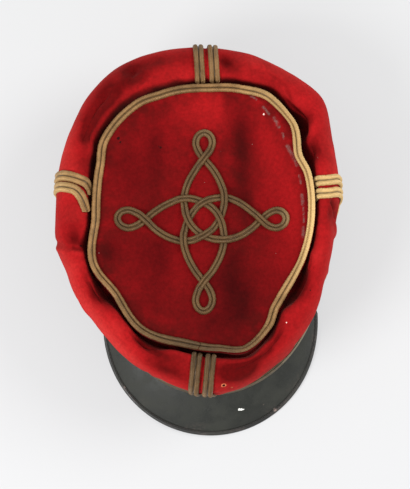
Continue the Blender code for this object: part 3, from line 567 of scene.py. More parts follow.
def redMaterial(name, tones, marks, rubbedAt=()):
    material, tree, shader, place = newMaterial(
        name, Roughness=0.95, Sheen_Weight=0.10, Sheen_Roughness=0.5,
        Sheen_Tint=(1.0, 0.24, 0.20, 1.0), Specular_IOR_Level=0.05,
    )
    fold, soilAndShade, pale = (painted(tree, key) for key in ("fold", "soilAndShade", "pale"))
    cloudy = between(tree, speckle(tree, place, 34.0, 4.0, 0.6), 0.30, 0.72, -0.18, 0.18)
    # The fold attribute is painted shade (with some uneven tone), toward the deep tone
    colour = mixed(tree, addNode(
        tree, "ShaderNodeMath", {0: fold, 1: cloudy}, operation="ADD", use_clamp=True).outputs[0],
        tones["red"], tones["deep"])
    # The pale attribute is painted light, toward the pale tone
    colour = mixed(tree, pale, colour, tones["pale"])
    grainy = between(tree, speckle(tree, place, 420.0, 3.0, 0.6), 0.2, 0.8, 0.80, 1.14)
    colour = mixed(tree, 1.0, colour, addNode(
        tree, "ShaderNodeCombineColor", {0: grainy, 1: grainy, 2: grainy}).outputs[0], "MULTIPLY")
    # This attribute darkens toward the soil tone: soil, painted shade in the groove and round the top's
    # edge, and a darkening toward the hem
    soiledAndShaded = sums(tree, "MULTIPLY", soilAndShade, between(tree, speckle(tree, place, 110.0), 0.25, 0.7))
    colour = mixed(tree, soiledAndShaded, colour, redCloth["soilAndShade"])
    if rubbedAt:
        patchy = between(tree, speckle(tree, place, 480.0, 3.0, 0.7), 0.30, 0.66, 0.05, 0.70)
        rubbed = sums(tree, "MULTIPLY", nearLines(tree, place, rubbedAt), patchy)
        colour = mixed(tree, rubbed, colour, redCloth["worn"])
    lint, number = crumbSpots(tree, place, 170.0, 0.020, 0.048, 0.75)
    chosen = between(tree, number, 0.80, 0.88)
    colour = mixed(tree, sums(tree, "MULTIPLY", lint, chosen), colour, redCloth["lint"])
    if marks["hole"]:
        rims = nearSpots(tree, place, [(spot, radius * 1.5) for spot, radius in marks["hole"]])
        colour = mixed(tree, rims, colour, redCloth["frayed"])
    for kind, spots in marks.items():
        if spots:
            colour = mixed(tree, nearSpots(tree, place, spots), colour, redCloth[kind])
    tree.links.new(colour, shader.inputs["Base Color"])
    bumps(
        tree, shader, (diagonal(tree, place, 420.0, 3.0), 0.3, redCloth["weave"]),
        (speckle(tree, place, 900.0, 4.0, 0.7), 0.8, redCloth["nap"]),
        (speckle(tree, place, 160.0, 2.0), 0.5, 0.0004),
    )
    return material


def topSpot(across, along):
    x, y = ring["side"] + across * ring["halfWidth"], ring["back"] + along * ring["halfLength"]
    return Vector((x, y, topHeight(x, y)))


sideCloth = redMaterial("red_side_cloth", redCloth["side"], {
    kind: [(sideFace(azimuth, row)[0], radius) for azimuth, row, radius in spots]
    for kind, spots in sideMarks.items()})
topCloth = redMaterial("red_top_cloth", redCloth["top"], {
    kind: [(topSpot(u, v), radius) for u, v, radius in spots] for kind, spots in topMarks.items()},
    [(topSpot(u, v), topSpot(farU, farV), width) for u, v, farU, farV, width in rubs])

# The four seams: azimuth, how far apart their two braids are, and how far the seam turns at the roll
seams = dict(
    left=dict(at=10.7, apart=0.0095, turn=2.3), back=dict(at=87.9, apart=0.0108, turn=0.0),
    right=dict(at=167.5, apart=0.0084, turn=0.0), front=dict(at=270.7, apart=0.0101, turn=0.0),
)
panels = dict(
    side_back_left=("left", "back"), side_back_right=("back", "right"),
    side_front_right=("right", "front"), side_front_left=("front", "left"),
)
panelMesh = dict(columns=170, rows=128, seamWidth=1.0, seamDepth=0.0007)
# Painted shade (and painted light, below 0) on the side cloth: azimuth, spread, row, reach, share
sideLightAndShade = (
    (137, 13, 6.9, 1.0, 0.60), (110, 12, 6.5, 1.0, 0.35), (96, 8, 6.6, 0.9, 0.25),
    (70, 12, 6.2, 1.2, -0.15), (48, 5, 8.8, 0.7, 0.35), (30, 5, 8.8, 0.7, 0.20),
    (285, 12, 7.1, 1.0, 0.60), (257, 12, 7.6, 1.1, 0.40), (245, 5, 8.2, 0.8, 0.50),
    (222, 12, 7.8, 0.9, 0.35), (219, 3, 6.6, 0.7, 0.40), (192, 8, 7.0, 1.4, 0.25),
    (320, 12, 9.0, 1.0, 0.50), (296, 2, 6.6, 0.5, 0.45), (81, 2.5, 6.8, 0.6, 0.40),
    (116, 3, 6.1, 0.6, 0.40), (155, 16, 5.2, 1.3, -0.55), (200, 12, 5.2, 1.2, -0.40),
    (232, 22, 4.8, 1.1, -0.75), (308, 16, 4.8, 1.0, -0.25), (168, 12, 6.8, 1.4, -0.25),
    (20, 20, 5.6, 1.1, -0.30), (60, 10, 5.6, 0.9, -0.35), (259, 9, 5.8, 0.9, 1.00),
    (284, 6, 6.1, 1.0, 1.30), (182, 8, 7.2, 1.0, 0.65), (121, 10, 7.4, 0.6, 0.30),
)
# Uneven tone; painted shade in the dents, scaled by deep, and painted light on the bulges, scaled by
# proud; painted shade in the groove; soil, darker in the groove as painted shade and darker toward the
# hem; soil patches
sideShadeAndSoil = dict(
    uneven=0.25, deep=0.0055, proud=0.004, grooveShade=1.2, shadeRows=(8.6, 10.0),
    soilAndShade=0.10, grooveShadeDark=0.85, shadeDarkRows=(8.8, 10.2), hemDarker=0.35, hemRows=(0.0, 2.5), patches=0.45,
)
# Painted shade (and painted light, below 0) on the top: across, along, wide, long, share
topLightAndShade = (
    (0.05, 0.88, 0.42, 0.28, -0.85), (0.64, 0.48, 0.22, 0.50, -0.62), (0.88, 0.05, 0.14, 0.50, -0.45),
    (0.03, 0.02, 0.15, 0.14, -0.30), (-0.10, 0.35, 0.20, 0.30, -0.12), (0.26, 0.98, 0.07, 0.18, 0.75),
    (0.37, 0.62, 0.10, 0.28, 0.70), (0.41, 0.22, 0.11, 0.28, 0.50), (-0.46, 0.50, 0.09, 0.35, 0.40),
    (-0.70, 0.40, 0.14, 0.30, 0.20), (-0.42, -0.40, 0.16, 0.35, 0.35), (0.32, -0.62, 0.22, 0.42, 0.80),
    (-0.05, -0.80, 0.30, 0.16, 0.15), (-0.92, -0.28, 0.10, 0.10, 0.50), (0.60, -0.10, 0.16, 0.30, 0.10),
)
# Painted shade over the whole top, streaks running front to back, soil, painted shade round the top's
# edge beside the roll, and soil patches
topShadeAndSoil = dict(tone=0.28, streaks=0.10, soilAndShade=0.15, edgeShade=0.45, edge=(0.80, 1.05), patches=0.5)


def reachAlong(points):  # how far each point is along the line
    reach = [0.0]
    for a, b in zip(points, points[1:]):
        reach.append(reach[-1] + (b - a).length)
    return reach


def evenRows(count, azimuth=47.0):  # rows of the profile an even way apart along the cloth
    fine = [lastRow * i / 2000.0 for i in range(2001)]
    reach = reachAlong([sidePoint(azimuth, row) for row in fine])
    marks = [reach[-1] * i / (count - 1) for i in range(count)]
    return list(numpy.interp(marks, reach, fine)), marks


def seamAt(name, row):  # the azimuth of a seam at a row of the profile
    return seams[name]["at"] + seams[name]["turn"] * ease(row, 6.5, 9.0)


def sidePaint(point, azimuth, row, pressed):
    tone = sum(
        share * bell(turnBetween(azimuth, at), spread) * bell(row - middle, reach)
        for at, spread, middle, reach, share in sideLightAndShade
    )
    tone += sideShadeAndSoil["uneven"] * noise.noise(point * 16.0)
    # fold: painted shade in the darker stretches, the dents and the groove
    fold = max(0.0, tone) + max(0.0, pressed / sideShadeAndSoil["deep"])
    fold += sideShadeAndSoil["grooveShade"] * ease(row, *sideShadeAndSoil["shadeRows"])
    soilAndShade = sideShadeAndSoil["soilAndShade"] + sideShadeAndSoil["grooveShadeDark"] * ease(row, *sideShadeAndSoil["shadeDarkRows"])
    soilAndShade += sideShadeAndSoil["hemDarker"] * (1.0 - ease(row, *sideShadeAndSoil["hemRows"]))
    soilAndShade += sideShadeAndSoil["patches"] * noise.noise(point * 24.0 + Vector((3.0, 1.0, 9.0)))
    # pale: painted light in the paler stretches and on the bulges
    pale = max(0.0, -tone) + max(0.0, -pressed / sideShadeAndSoil["proud"])
    return tuple(min(1.0, max(0.0, value)) for value in (fold, soilAndShade, pale))


def paintOf(tones):  # the cloth's attributes, for the outer and the inner face of a piece
    return {key: list(values) * 2 for key, values in zip(("fold", "soilAndShade", "pale"), zip(*tones))}


def makePanel(name, start, end):
    columns, (rows, reach) = panelMesh["columns"], evenRows(panelMesh["rows"])
    outer, inner, uvs, tones = [], [], [], []
    for row, height in zip(rows, reach):
        first = seamAt(start, row)
        swing = (seamAt(end, row) - first) % 360.0
        for i in range(columns):
            azimuth = first + swing * i / (columns - 1)
            point, out = sideFace(azimuth, row)
            edge = min(azimuth - first, first + swing - azimuth) / panelMesh["seamWidth"]
            point = point - out * panelMesh["seamDepth"] * bell(edge, 1.0)
            outer.append(point)
            inner.append(point - out * crown["cloth"])
            uvs.append((math.radians(azimuth) * 0.11, height))
            tones.append(sidePaint(point, azimuth, row, pressedIn(azimuth, row)))
    piece = makePiece(f"{name}_cloth", outer + inner, shellFaces(len(rows), columns), [sideCloth],
                      uvs=uvs * 2, paint=paintOf(tones))
    hand(piece, "red_cloth", name)


for name, (start, end) in panels.items():
    makePanel(name, start, end)
print("side cloth ready")


def topPaint(x, y):
    u, v = (x - ring["side"]) / ring["halfWidth"], (y - ring["back"]) / ring["halfLength"]
    flat = Vector((x, y, 0.0))
    tone = topShadeAndSoil["tone"] + sum(
        share * bell(u - across, wide) * bell(v - along, long)
        for across, along, wide, long, share in topLightAndShade
    )
    tone += topShadeAndSoil["streaks"] * noise.noise(Vector((x * 45.0, y * 9.0, 2.0)))
    soilAndShade = topShadeAndSoil["soilAndShade"] + topShadeAndSoil["edgeShade"] * ease(math.hypot(u, v), *topShadeAndSoil["edge"])
    soilAndShade += topShadeAndSoil["patches"] * noise.noise(flat * 22.0)
    # fold is the painted shade here, pale the painted light
    return tuple(min(1.0, max(0.0, value)) for value in (tone, soilAndShade, -tone))


def makeTop():
    spokes, rings = top["spokes"], top["rings"]
    middle = Vector((ring["side"], ring["back"]))
    upper = []
    for j in range(rings):
        share = 1.0 - j / rings
        for i in range(spokes):
            edge = ringOutline(360.0 * i / spokes, ring["braid"] / 2 - band["clear"])
            flat = middle.lerp(edge, share)
            upper.append(Vector((flat.x, flat.y, topHeight(flat.x, flat.y))))
    upper.append(Vector((middle.x, middle.y, topHeight(middle.x, middle.y))))
    total = len(upper)
    points = upper + [p - Vector((0.0, 0.0, crown["cloth"])) for p in upper]
    faces = []
    for low in (0, total):
        faces += gridFaces(rings, spokes, low, wrap=True)
        last = low + (rings - 1) * spokes
        faces += [(last + i, last + (i + 1) % spokes, low + total - 1) for i in range(spokes)]
    for i in range(spokes):
        k = (i + 1) % spokes
        faces.append((i, k, total + k, total + i))
    uvs, paint = [(p.x, p.y) for p in points], paintOf([topPaint(p.x, p.y) for p in upper])
    hand(makePiece("top_cloth", points, faces, [topCloth], uvs=uvs, paint=paint), "red_cloth", "top")


makeTop()
print("top ready")

# Soutache: two ribs of gold thread with a channel between. Every stitch is two slanting threads,
# one over each rib, that a node tree sets along the cord's path.
soutache = dict(
    height=0.0017, pitch=0.00060, thread=0.00042, lean=0.00042, core=0.88, channel=0.20,
    crest=0.92, bed=0.30, fullness=0.8,
    tones=dict(gold=(0.355, 0.195, 0.070), dull=(0.230, 0.125, 0.042), bright=(0.66, 0.45, 0.185)),
    knotTones=dict(gold=(0.135, 0.072, 0.023), dull=(0.100, 0.053, 0.017), bright=(0.6, 0.4, 0.18)),
    dark=(0.035, 0.018, 0.005),
)


def goldMaterial(name, shade, tones):
    material, tree, shader, place = newMaterial(
        name, Metallic=0.20, Roughness=0.42, Specular_IOR_Level=0.35,
        Sheen_Weight=0.04, Sheen_Roughness=0.5,
    )
    tarnish = between(tree, speckle(tree, place, 120.0, 3.0), 0.32, 0.68)
    colour = mixed(tree, tarnish, tones["dull"], tones["gold"])
    threads = between(tree, speckle(tree, place, 1500.0, 2.0, 0.7), 0.3, 0.72)
    colour = mixed(tree, threads, mixed(tree, 0.18, colour, soutache["dark"]), colour)
    glintAndShade = painted(tree, "glintAndShade")
    # The painted attribute lifts the gold to its bright tone as painted highlight, and below 0 darkens
    # it as painted shade
    colour = mixed(tree, glintAndShade, colour, tones["bright"])
    colour = mixed(tree, sums(tree, "MULTIPLY", glintAndShade, -1.0), colour, soutache["dark"])
    colour = mixed(tree, shade, colour, soutache["dark"])
    tree.links.new(colour, shader.inputs["Base Color"])
    bumps(tree, shader, (speckle(tree, place, 2600.0, 2.0), 0.5, 0.00008))
    return material


# The cores show only in the channel between the ribs; their darkening is painted shade
goldThread = goldMaterial("gold_thread", 0.02, soutache["tones"])
goldCore = goldMaterial("gold_core", 0.75, soutache["tones"])
knotThread = goldMaterial("knot_thread", 0.05, soutache["knotTones"])
knotCore = goldMaterial("knot_core", 0.45, soutache["knotTones"])


def startTree(name, *labels):  # a node group that takes a line, numbers, a seed and a material
    tree = bpy.data.node_groups.new(name, "GeometryNodeTree")
    sockets = [("Geometry", "Geometry"), *((label, "Float") for label in labels),
               ("Seed", "Int"), ("Material", "Material")]
    for label, kind in sockets:
        tree.interface.new_socket(label, in_out="INPUT", socket_type=f"NodeSocket{kind}")
    tree.interface.new_socket("Geometry", in_out="OUTPUT", socket_type="NodeSocketGeometry")
    return tree, tree.nodes.new("NodeGroupInput").outputs


def threadTube(tree, given, ends):  # a round thread that bends over from the first end to the last
    arc = addNode(tree, "GeometryNodeCurvePrimitiveBezierSegment", {
        "Resolution": 5, "Start": ends[0], "Start Handle": ends[1], "End Handle": ends[2],
        "End": ends[3]}).outputs[0]
    circle = addNode(tree, "GeometryNodeCurvePrimitiveCircle", {
        "Resolution": 5, "Radius": given["Thread Radius"]}).outputs[0]
    return addNode(tree, "GeometryNodeCurveToMesh", {
        "Curve": arc, "Profile Curve": circle, "Fill Caps": True}).outputs[0]


def setAlong(tree, given, tubes, least, most):  # the tubes, set an even way apart on the line
    line = addNode(tree, "GeometryNodeMeshToCurve", {"Mesh": given["Geometry"]}).outputs[0]
    marks = addNode(
        tree, "GeometryNodeResampleCurve", {"Curve": line, "Length": given["Pitch"]}, mode="LENGTH")
    stitch = addNode(tree, "GeometryNodeJoinGeometry")
    for tube in tubes:
        tree.links.new(tube, stitch.inputs[0])
    tangent = addNode(tree, "GeometryNodeInputTangent").outputs[0]
    up = addNode(tree, "GeometryNodeInputNamedAttribute", {"Name": "up"}, data_type="FLOAT_VECTOR")
    turn = addNode(tree, "FunctionNodeAxesToRotation", {
        "Primary Axis": tangent, "Secondary Axis": up.outputs["Attribute"]})
    turn.primary_axis, turn.secondary_axis = "X", "Z"
    loose = addNode(tree, "FunctionNodeRandomValue", {
        "Min": least, "Max": most, "Seed": given["Seed"]}, data_type="FLOAT_VECTOR")
    placed = addNode(tree, "GeometryNodeInstanceOnPoints", {
        "Points": marks.outputs[0], "Instance": stitch.outputs[0],
        "Rotation": turn.outputs[0], "Scale": loose.outputs[0]}).outputs[0]
    real = addNode(tree, "GeometryNodeRealizeInstances", {"Geometry": placed}).outputs[0]
    soft = addNode(tree, "GeometryNodeSetShadeSmooth", {"Geometry": real}).outputs[0]
    finish = addNode(tree, "GeometryNodeSetMaterial", {
        "Geometry": soft, "Material": given["Material"]}).outputs[0]
    tree.links.new(finish, tree.nodes.new("NodeGroupOutput").inputs[0])
    return tree


def threadTree():  # stitches of two leaning threads, set along a line that carries its way up
    tree, given = startTree(
        "soutache_threads", "Pitch", "Half Width", "Height", "Lean", "Thread Radius", "Channel")

    def times(value, factor):
        return sums(tree, "MULTIPLY", value, factor)

    def vector(x, y, z):
        return addNode(tree, "ShaderNodeCombineXYZ", {0: x, 1: y, 2: z}).outputs[0]

    foot, bulge = times(given["Half Width"], 0.93), times(given["Half Width"], 0.98)
    channel = times(given["Half Width"], given["Channel"])
    high, low = times(given["Height"], 1.10), times(given["Height"], 0.42)
    ahead, behind = given["Lean"], times(given["Lean"], -1.0)
    threads = [
        threadTube(tree, given, (
            vector(behind, times(foot, side), 0.0), vector(behind, times(bulge, side), high),
            vector(ahead, times(channel, side), high), vector(ahead, times(channel, side), low),
        ))
        for side in (1.0, -1.0)
    ]
    return setAlong(tree, given, threads, (0.94, 0.95, 0.93), (1.06, 1.03, 1.09))


def runTree(path, ups, closed, tree, settings):  # the tree's result on one line, as a plain mesh
    mesh = bpy.data.meshes.new("line")
    count = len(path)
    edges = [(i, (i + 1) % count) for i in range(count if closed else count - 1)]
    mesh.from_pydata([onTable @ p for p in path], edges, [])
    turned = onTable.to_3x3()
    flat = [value for up in ups for value in (turned @ up)]
    mesh.attributes.new("up", "FLOAT_VECTOR", "POINT").data.foreach_set("vector", flat)
    line = addObject("line", mesh)
    modifier = line.modifiers.new("Threads", "NODES")
    modifier.node_group = tree
    keys = {s.name: s.identifier for s in tree.interface.items_tree if s.in_out == "INPUT"}
    for label, value in settings.items():
        modifier[keys[label]] = value
    graph = bpy.context.evaluated_depsgraph_get()
    result = bpy.data.meshes.new_from_object(line.evaluated_get(graph))
    line.modifiers.clear()
    bpy.data.objects.remove(line, do_unlink=True)
    return result


soutacheTree = threadTree()


def sweptMesh(path, ups, section, closed):  # a section carried along a path: points and faces
    count, sides = len(path), len(section)
    points, faces = [], []
    for i, (point, up) in enumerate(zip(path, ups)):
        before = path[i - 1] if closed or i else point
        after = path[(i + 1) % count] if closed or i < count - 1 else point
        along = (after - before).normalized()
        across = along.cross(up).normalized()
        above = across.cross(along).normalized()
        points += [point + across * a + above * b for a, b in section]
    for i in range(count if closed else count - 1):
        a, b = i * sides, ((i + 1) % count) * sides
        faces += [(a + j, a + (j + 1) % sides, b + (j + 1) % sides, b + j) for j in range(sides)]
    if not closed:
        faces.append(tuple(reversed(range(sides))))
        faces.append(tuple(range((count - 1) * sides, count * sides)))
    return points, faces


def ribSection(width, height, steps=6):  # two round ribs with a channel between, and a flat base
    half, ribs = width / 2 * soutache["core"], []
    inner = half * soutache["channel"]
    for i in range(steps + 1):
        angle = math.pi * i / steps
        across = (half + inner) / 2 + (half - inner) / 2 * math.cos(angle)
        floor = soutache["bed"] * i / steps
        rise = (soutache["crest"] - floor) * math.sin(angle) ** soutache["fullness"]
        ribs.append((across, height * (rise + floor)))
    return ribs + [(-across, up) for across, up in reversed(ribs)]


def joinMeshes(name, meshes, materials):
    whole = bmesh.new()
    for index, mesh in enumerate(meshes):
        start = len(whole.faces)
        whole.from_mesh(mesh)
        whole.faces.ensure_lookup_table()
        for face in whole.faces[start:]:
            face.material_index = index
    result = bpy.data.meshes.new(name)
    whole.to_mesh(result)
    whole.free()
    result.shade_smooth()
    for material in materials:
        result.materials.append(material)
    return addObject(name, result)


# Painted highlight on the gold, and painted shade (below 0): azimuth, spread, share, and from how far
# out
goldGlintsAndShade = (
    (6.0, 36.0, 0.95, 0.060), (62.0, 24.0, 0.35, 0.060), (169.0, 10.0, 0.60, 0.085),
    (270.0, 38.0, -0.80, 0.060), (270.0, 12.0, 0.22, 0.098), (224.0, 14.0, -0.15, 0.060),
    (92.0, 26.0, -0.36, 0.080), (88.0, 9.0, -0.22, 0.108),
)


def paintGlintAndShade(mesh):  # the gold's painted highlight and painted shade, from where a point is on the cap
    spots = numpy.empty(len(mesh.vertices) * 3, dtype=numpy.float32)
    mesh.vertices.foreach_get("co", spots)
    x, y = spots.reshape(-1, 3)[:, 0], spots.reshape(-1, 3)[:, 1]
    angle, away = numpy.degrees(numpy.arctan2(y, x)), numpy.hypot(x, y)
    glintAndShade = numpy.zeros_like(away)
    for at, spread, most, start in goldGlintsAndShade:
        near = numpy.exp(-((turnBetween(angle, at) / spread) ** 2))
        glintAndShade += most * near * numpy.clip((away - start) / 0.02, 0.0, 1.0)
    layer = mesh.attributes.new("glintAndShade", "FLOAT", "POINT")
    layer.data.foreach_set("value", numpy.clip(glintAndShade, -0.85, 1.0).astype(numpy.float32))


def layBraid(name, node, path, ups, width, closed, seed, core=goldCore, thread=goldThread):
    points, faces = sweptMesh(path, ups, ribSection(width, soutache["height"]), closed)
    base = makePiece(f"{name}_core", points, faces, [core])
    stitches = runTree(path, ups, closed, soutacheTree, {
        "Pitch": soutache["pitch"], "Half Width": width / 2, "Height": soutache["height"],
        "Lean": soutache["lean"], "Thread Radius": soutache["thread"], "Seed": seed,
        "Channel": soutache["channel"], "Material": thread,
    })
    piece = joinMeshes(name, [base.data, stitches], [core, thread])
    bpy.data.objects.remove(base, do_unlink=True)
    paintGlintAndShade(piece.data)
    hand(piece, "gold_braid", node)


def evenly(points, gap, closed):  # the same line with its points an even way apart
    loop = points + [points[0]] if closed else points
    reach = reachAlong(loop)
    steps = max(4, round(reach[-1] / gap))
    marks = [reach[-1] * i / steps for i in range(steps if closed else steps + 1)]
    parts = [numpy.interp(marks, reach, [p[axis] for p in loop]) for axis in range(3)]
    return [Vector(p) for p in zip(*parts)]


# The braid round the top leans in where the side cloth pushes it up: azimuth, degrees
ringBraid = dict(
    width=0.0062, lift=0.0002, gap=0.0011, joint=268.5, open=0.35, raised=0.72,
    leans=(
        (0, 50), (27, 48), (38, 34), (48, 58), (61, 42), (72, 12), (90, 5), (175, 8), (190, 34),
        (245, 34), (257, 10), (266, 20), (274, 42), (286, 52), (297, 48), (305, 18), (318, 10),
        (332, 46),
    ),
)


def makeRingBraid():
    first, turn = ringBraid["joint"] + ringBraid["open"], 360.0 - 2 * ringBraid["open"]
    plan = [ringOutline(first + turn * i / 720).to_3d() for i in range(721)]
    middle = Vector((ring["side"], ring["back"], 0.0))
    path, ups = [], []
    for flat in evenly(plan, ringBraid["gap"], False):
        point, out = topFace(flat.x, flat.y)
        azimuth = math.degrees(math.atan2(flat.y - middle.y, flat.x - middle.x)) % 360.0
        lean = math.radians(pushAt(ringBraid["leans"], azimuth))
        inward = (middle - flat).normalized()
        inward = (inward - out * inward.dot(out)).normalized()
        rise = ringBraid["width"] / 2 * math.sin(lean) * ringBraid["raised"]
        path.append(point + out * (ringBraid["lift"] + rise))
        ups.append(out * math.cos(lean) + inward * math.sin(lean))
    layBraid("ring_soutache", "ring_braid", path, ups, ringBraid["width"], False, 3)


makeRingBraid()
print("ring braid ready")

# Each side braid ends in the groove. Two ends curl aside: degrees, first row, last row
sideBraid = dict(
    width=0.0076, lift=0.0003, foot=0.30, steps=220, curling=2.2,
    straight=(0.0, 8.0, 9.6), curls=dict(right_1=(8.5, 6.8, 8.7), right_2=(4.0, 8.0, 9.4)),
)


def makeSideBraids():
    for seed, (name, seam) in enumerate(seams.items()):
        for number, turn in ((1, 1.0), (2, -1.0)):
            part = f"{name}_{number}"
            curl, first, last = sideBraid["curls"].get(part, sideBraid["straight"])
            path, ups = [], []
            for i in range(sideBraid["steps"] + 1):
                row = sideBraid["foot"] + (last - sideBraid["foot"]) * i / sideBraid["steps"]
                azimuth = seamAt(name, row)
                step = sidePoint(azimuth + 0.5, row) - sidePoint(azimuth - 0.5, row)
                azimuth += turn * seam["apart"] / 2 / step.length
                azimuth += curl * max(0.0, (row - first) / (last - first)) ** sideBraid["curling"]
                point, out = sideFace(azimuth, row)
                path.append(point + out * sideBraid["lift"])
                ups.append(out)
            layBraid(f"soutache_{part}", f"braid_{part}", path, ups, sideBraid["width"], False,
                     10 + 2 * seed + number)


makeSideBraids()
print("side braids ready")

# The knot on the top: one closed cord of four like arms. ahead is along an arm, aside is across it.
knot = dict(
    width=0.0051, reachSide=0.0615, reachBack=0.0658, longerRight=0.028, longerFront=0.025,
    shiftSide=0.0008, shiftBack=-0.0017, hold=0.0034, slope=0.0060, lift=0.0002, over=1.05,
    turns=(
        (1.000, 0.000), (0.965, 0.070), (0.880, 0.100), (0.780, 0.068), (0.690, 0.000),
        (0.565, -0.105), (0.420, -0.190), (0.260, -0.238), (0.100, -0.225), (-0.060, -0.150),
        (-0.165, -0.040), (-0.222, 0.100), (-0.235, 0.260), (-0.190, 0.420), (-0.105, 0.565),
        (0.000, 0.690), (0.068, 0.780), (0.100, 0.880), (0.070, 0.965),
    ),
)


def smoothLoop(points, steps):
    count, curve = len(points), []
    for i in range(count):
        a, b, c, d = (points[(i + k) % count] for k in (-1, 0, 1, 2))
        for step in range(steps):
            t = step / steps
            curve.append(0.5 * (
                2 * b + (c - a) * t + (2 * a - 5 * b + 4 * c - d) * t * t
                + (3 * b - a - 3 * c + d) * t ** 3))
    return curve


def knotPlan():
    plan = []
    for quarter in range(4):
        angle = math.radians(90.0 * (quarter + 1))
        ahead = Vector((math.cos(angle), math.sin(angle)))
        aside = Vector((-ahead.y, ahead.x))
        for forward, beside in knot["turns"]:
            point = ahead * forward + aside * beside
            point.x *= knot["reachSide"] * (1.0 - knot["longerRight"] * point.x)
            point.y *= knot["reachBack"] * (1.0 - knot["longerFront"] * point.y)
            plan.append(point)
    middle = Vector((ring["side"] + knot["shiftSide"], ring["back"] + knot["shiftBack"]))
    return [(p + middle).to_3d() for p in smoothLoop(plan, 12)]


def crossings(plan, reach):  # both places along the cord of each crossing
    found, count = [], len(plan)
    for i in range(count):
        a, b = plan[i], plan[(i + 1) % count]
        for j in range(i + 2, count):
            if (j + 1) % count == i:
                continue
            c, d = plan[j], plan[(j + 1) % count]
            if max(a.x, b.x) < min(c.x, d.x) or max(c.x, d.x) < min(a.x, b.x):
                continue
            ab, cd, ac = b - a, d - c, c - a
            area = ab.x * cd.y - ab.y * cd.x
            if abs(area) < 1e-15:
                continue
            s, t = (ac.x * cd.y - ac.y * cd.x) / area, (ac.x * ab.y - ac.y * ab.x) / area
            if 0.0 <= s < 1.0 and 0.0 <= t < 1.0:
                found.append((reach * (i + s), reach * (j + t)))
    return found


def makeKnot():
    plan = evenly(knotPlan(), 0.0011, True)
    reach = (plan[1] - plan[0]).length
    whole = reach * len(plan)
    over = sorted(place for pair in crossings(plan, reach) for place in pair)[1::2]
    path, ups = [], []
    for i, flat in enumerate(plan):
        point, out = topFace(flat.x, flat.y)
        lift = 0.0
        for place in over:
            off = abs((reach * i - place + whole / 2) % whole - whole / 2)
            lift = max(lift, 1.0 - ease(off, knot["hold"], knot["hold"] + knot["slope"]))
        path.append(point + out * (knot["lift"] + lift * soutache["height"] * knot["over"]))
        ups.append(out)
    print(f"knot of {whole * 1000:.0f} mm with {len(over)} crossings")
    layBraid("knot_soutache", "knot_braid", path, ups, knot["width"], True, 5, knotCore, knotThread)


makeKnot()
print("knot ready")

# Dark cloth band
bandLook = dict(
    cloth=(0.0065, 0.0065, 0.0085), worn=(0.017, 0.016, 0.018), dust=(0.10, 0.09, 0.08),
    columns=260, round=0.0009, wobble=0.0005,
)


def darkMaterial():
    material, tree, shader, place = newMaterial(
        "dark_band_cloth", Roughness=0.95, Sheen_Weight=0.25, Sheen_Roughness=0.5,
        Specular_IOR_Level=0.15,
    )
    cloudy = between(tree, speckle(tree, place, 130.0, 4.0), 0.30, 0.78)
    colour = mixed(tree, cloudy, bandLook["cloth"], bandLook["worn"])
    lint = crumbSpots(tree, place, 240.0, 0.03, 0.06, 0.6)[0]
    colour = mixed(tree, lint, colour, bandLook["dust"])
    tree.links.new(colour, shader.inputs["Base Color"])
    bumps(tree, shader, (diagonal(tree, place, 380.0, 2.0), 0.6, 0.0002),
          (speckle(tree, place, 800.0, 3.0), 0.7, 0.0002))
    return material


darkCloth = darkMaterial()


def makeBand():
    wall, edge, height = band["wall"], bandLook["round"], band["height"]
    section = []  # how far in from the outer face, and how high, round the wall
    for middleIn, middleUp, start in (
        (edge, edge, 180), (edge, height - edge, 90), (wall - edge, height - edge, 0),
        (wall - edge, edge, -90),
    ):
        for i in range(5):
            angle = math.radians(start - 90.0 * i / 4 + 90.0)
            section.append((middleIn + edge * math.cos(angle), middleUp + edge * math.sin(angle)))
    columns, points, uvs = bandLook["columns"], [], []
    for i in range(columns):
        azimuth = 360.0 * i / columns
        flat, out = bandFace(azimuth, 0.5)
        for inward, up in section:
            spot = flat - out * inward
            sway = bandLook["wobble"] * noise.noise(Vector((spot.x, spot.y, up)) * 40.0)
            spot = spot + out * sway
            points.append(Vector((spot.x, spot.y, up)))
            uvs.append((math.radians(azimuth) * 0.093, up + inward))
    count = len(section)
    faces = []
    for i in range(columns):
        a, b = i * count, ((i + 1) % columns) * count
        faces += [(a + j, a + (j + 1) % count, b + (j + 1) % count, b + j) for j in range(count)]
    hand(makePiece("band_cloth", points, faces, [darkCloth], uvs=uvs), "band_cloth", "band")


makeBand()
print("band ready")

# Leather peak, its rolled binding and the row of stitches inside the binding
peak = dict(
    reach=0.0300, thickness=0.0025, start=0.0030, crowning=0.0016,
    halfSpan=73.0, tip=0.0020, touch=42.0, binding=0.0018,
    columns=220, rows=26, stitch=0.0021, stitchGap=0.0026, stitchInset=0.0026,
    stitchThread=0.00030, stitchEnd=0.97, stitchSteps=240,
    leather=(0.012, 0.0132, 0.0100), worn=(0.030, 0.0315, 0.024), rubbed=(0.20, 0.15, 0.13),
    edge=(0.016, 0.016, 0.015), chipped=(0.90, 0.89, 0.84),
    black=(0.010, 0.009, 0.009), greyed=(0.05, 0.045, 0.04),
    bindingSteps=300, bindingSides=18, endThin=0.35, endSteps=7.0,
    # a white chip in the finish and scuffs: degrees from the front, share of the reach, radius
    chips=((10.3, 0.53, 0.0010), (11.0, 0.55, 0.0010), (11.7, 0.56, 0.0006)),
    scuffs=((22.0, 0.98, 0.0016), (19.2, 0.68, 0.0003), (-33.0, 0.98, 0.0009)),
)


def peakReach(off):
    return peak["reach"] * math.cos(math.radians(90.0 * off / peak["halfSpan"]))


def peakTip(reach):
    return peak["halfSpan"] / 90.0 * math.degrees(math.acos(reach / peak["reach"]))


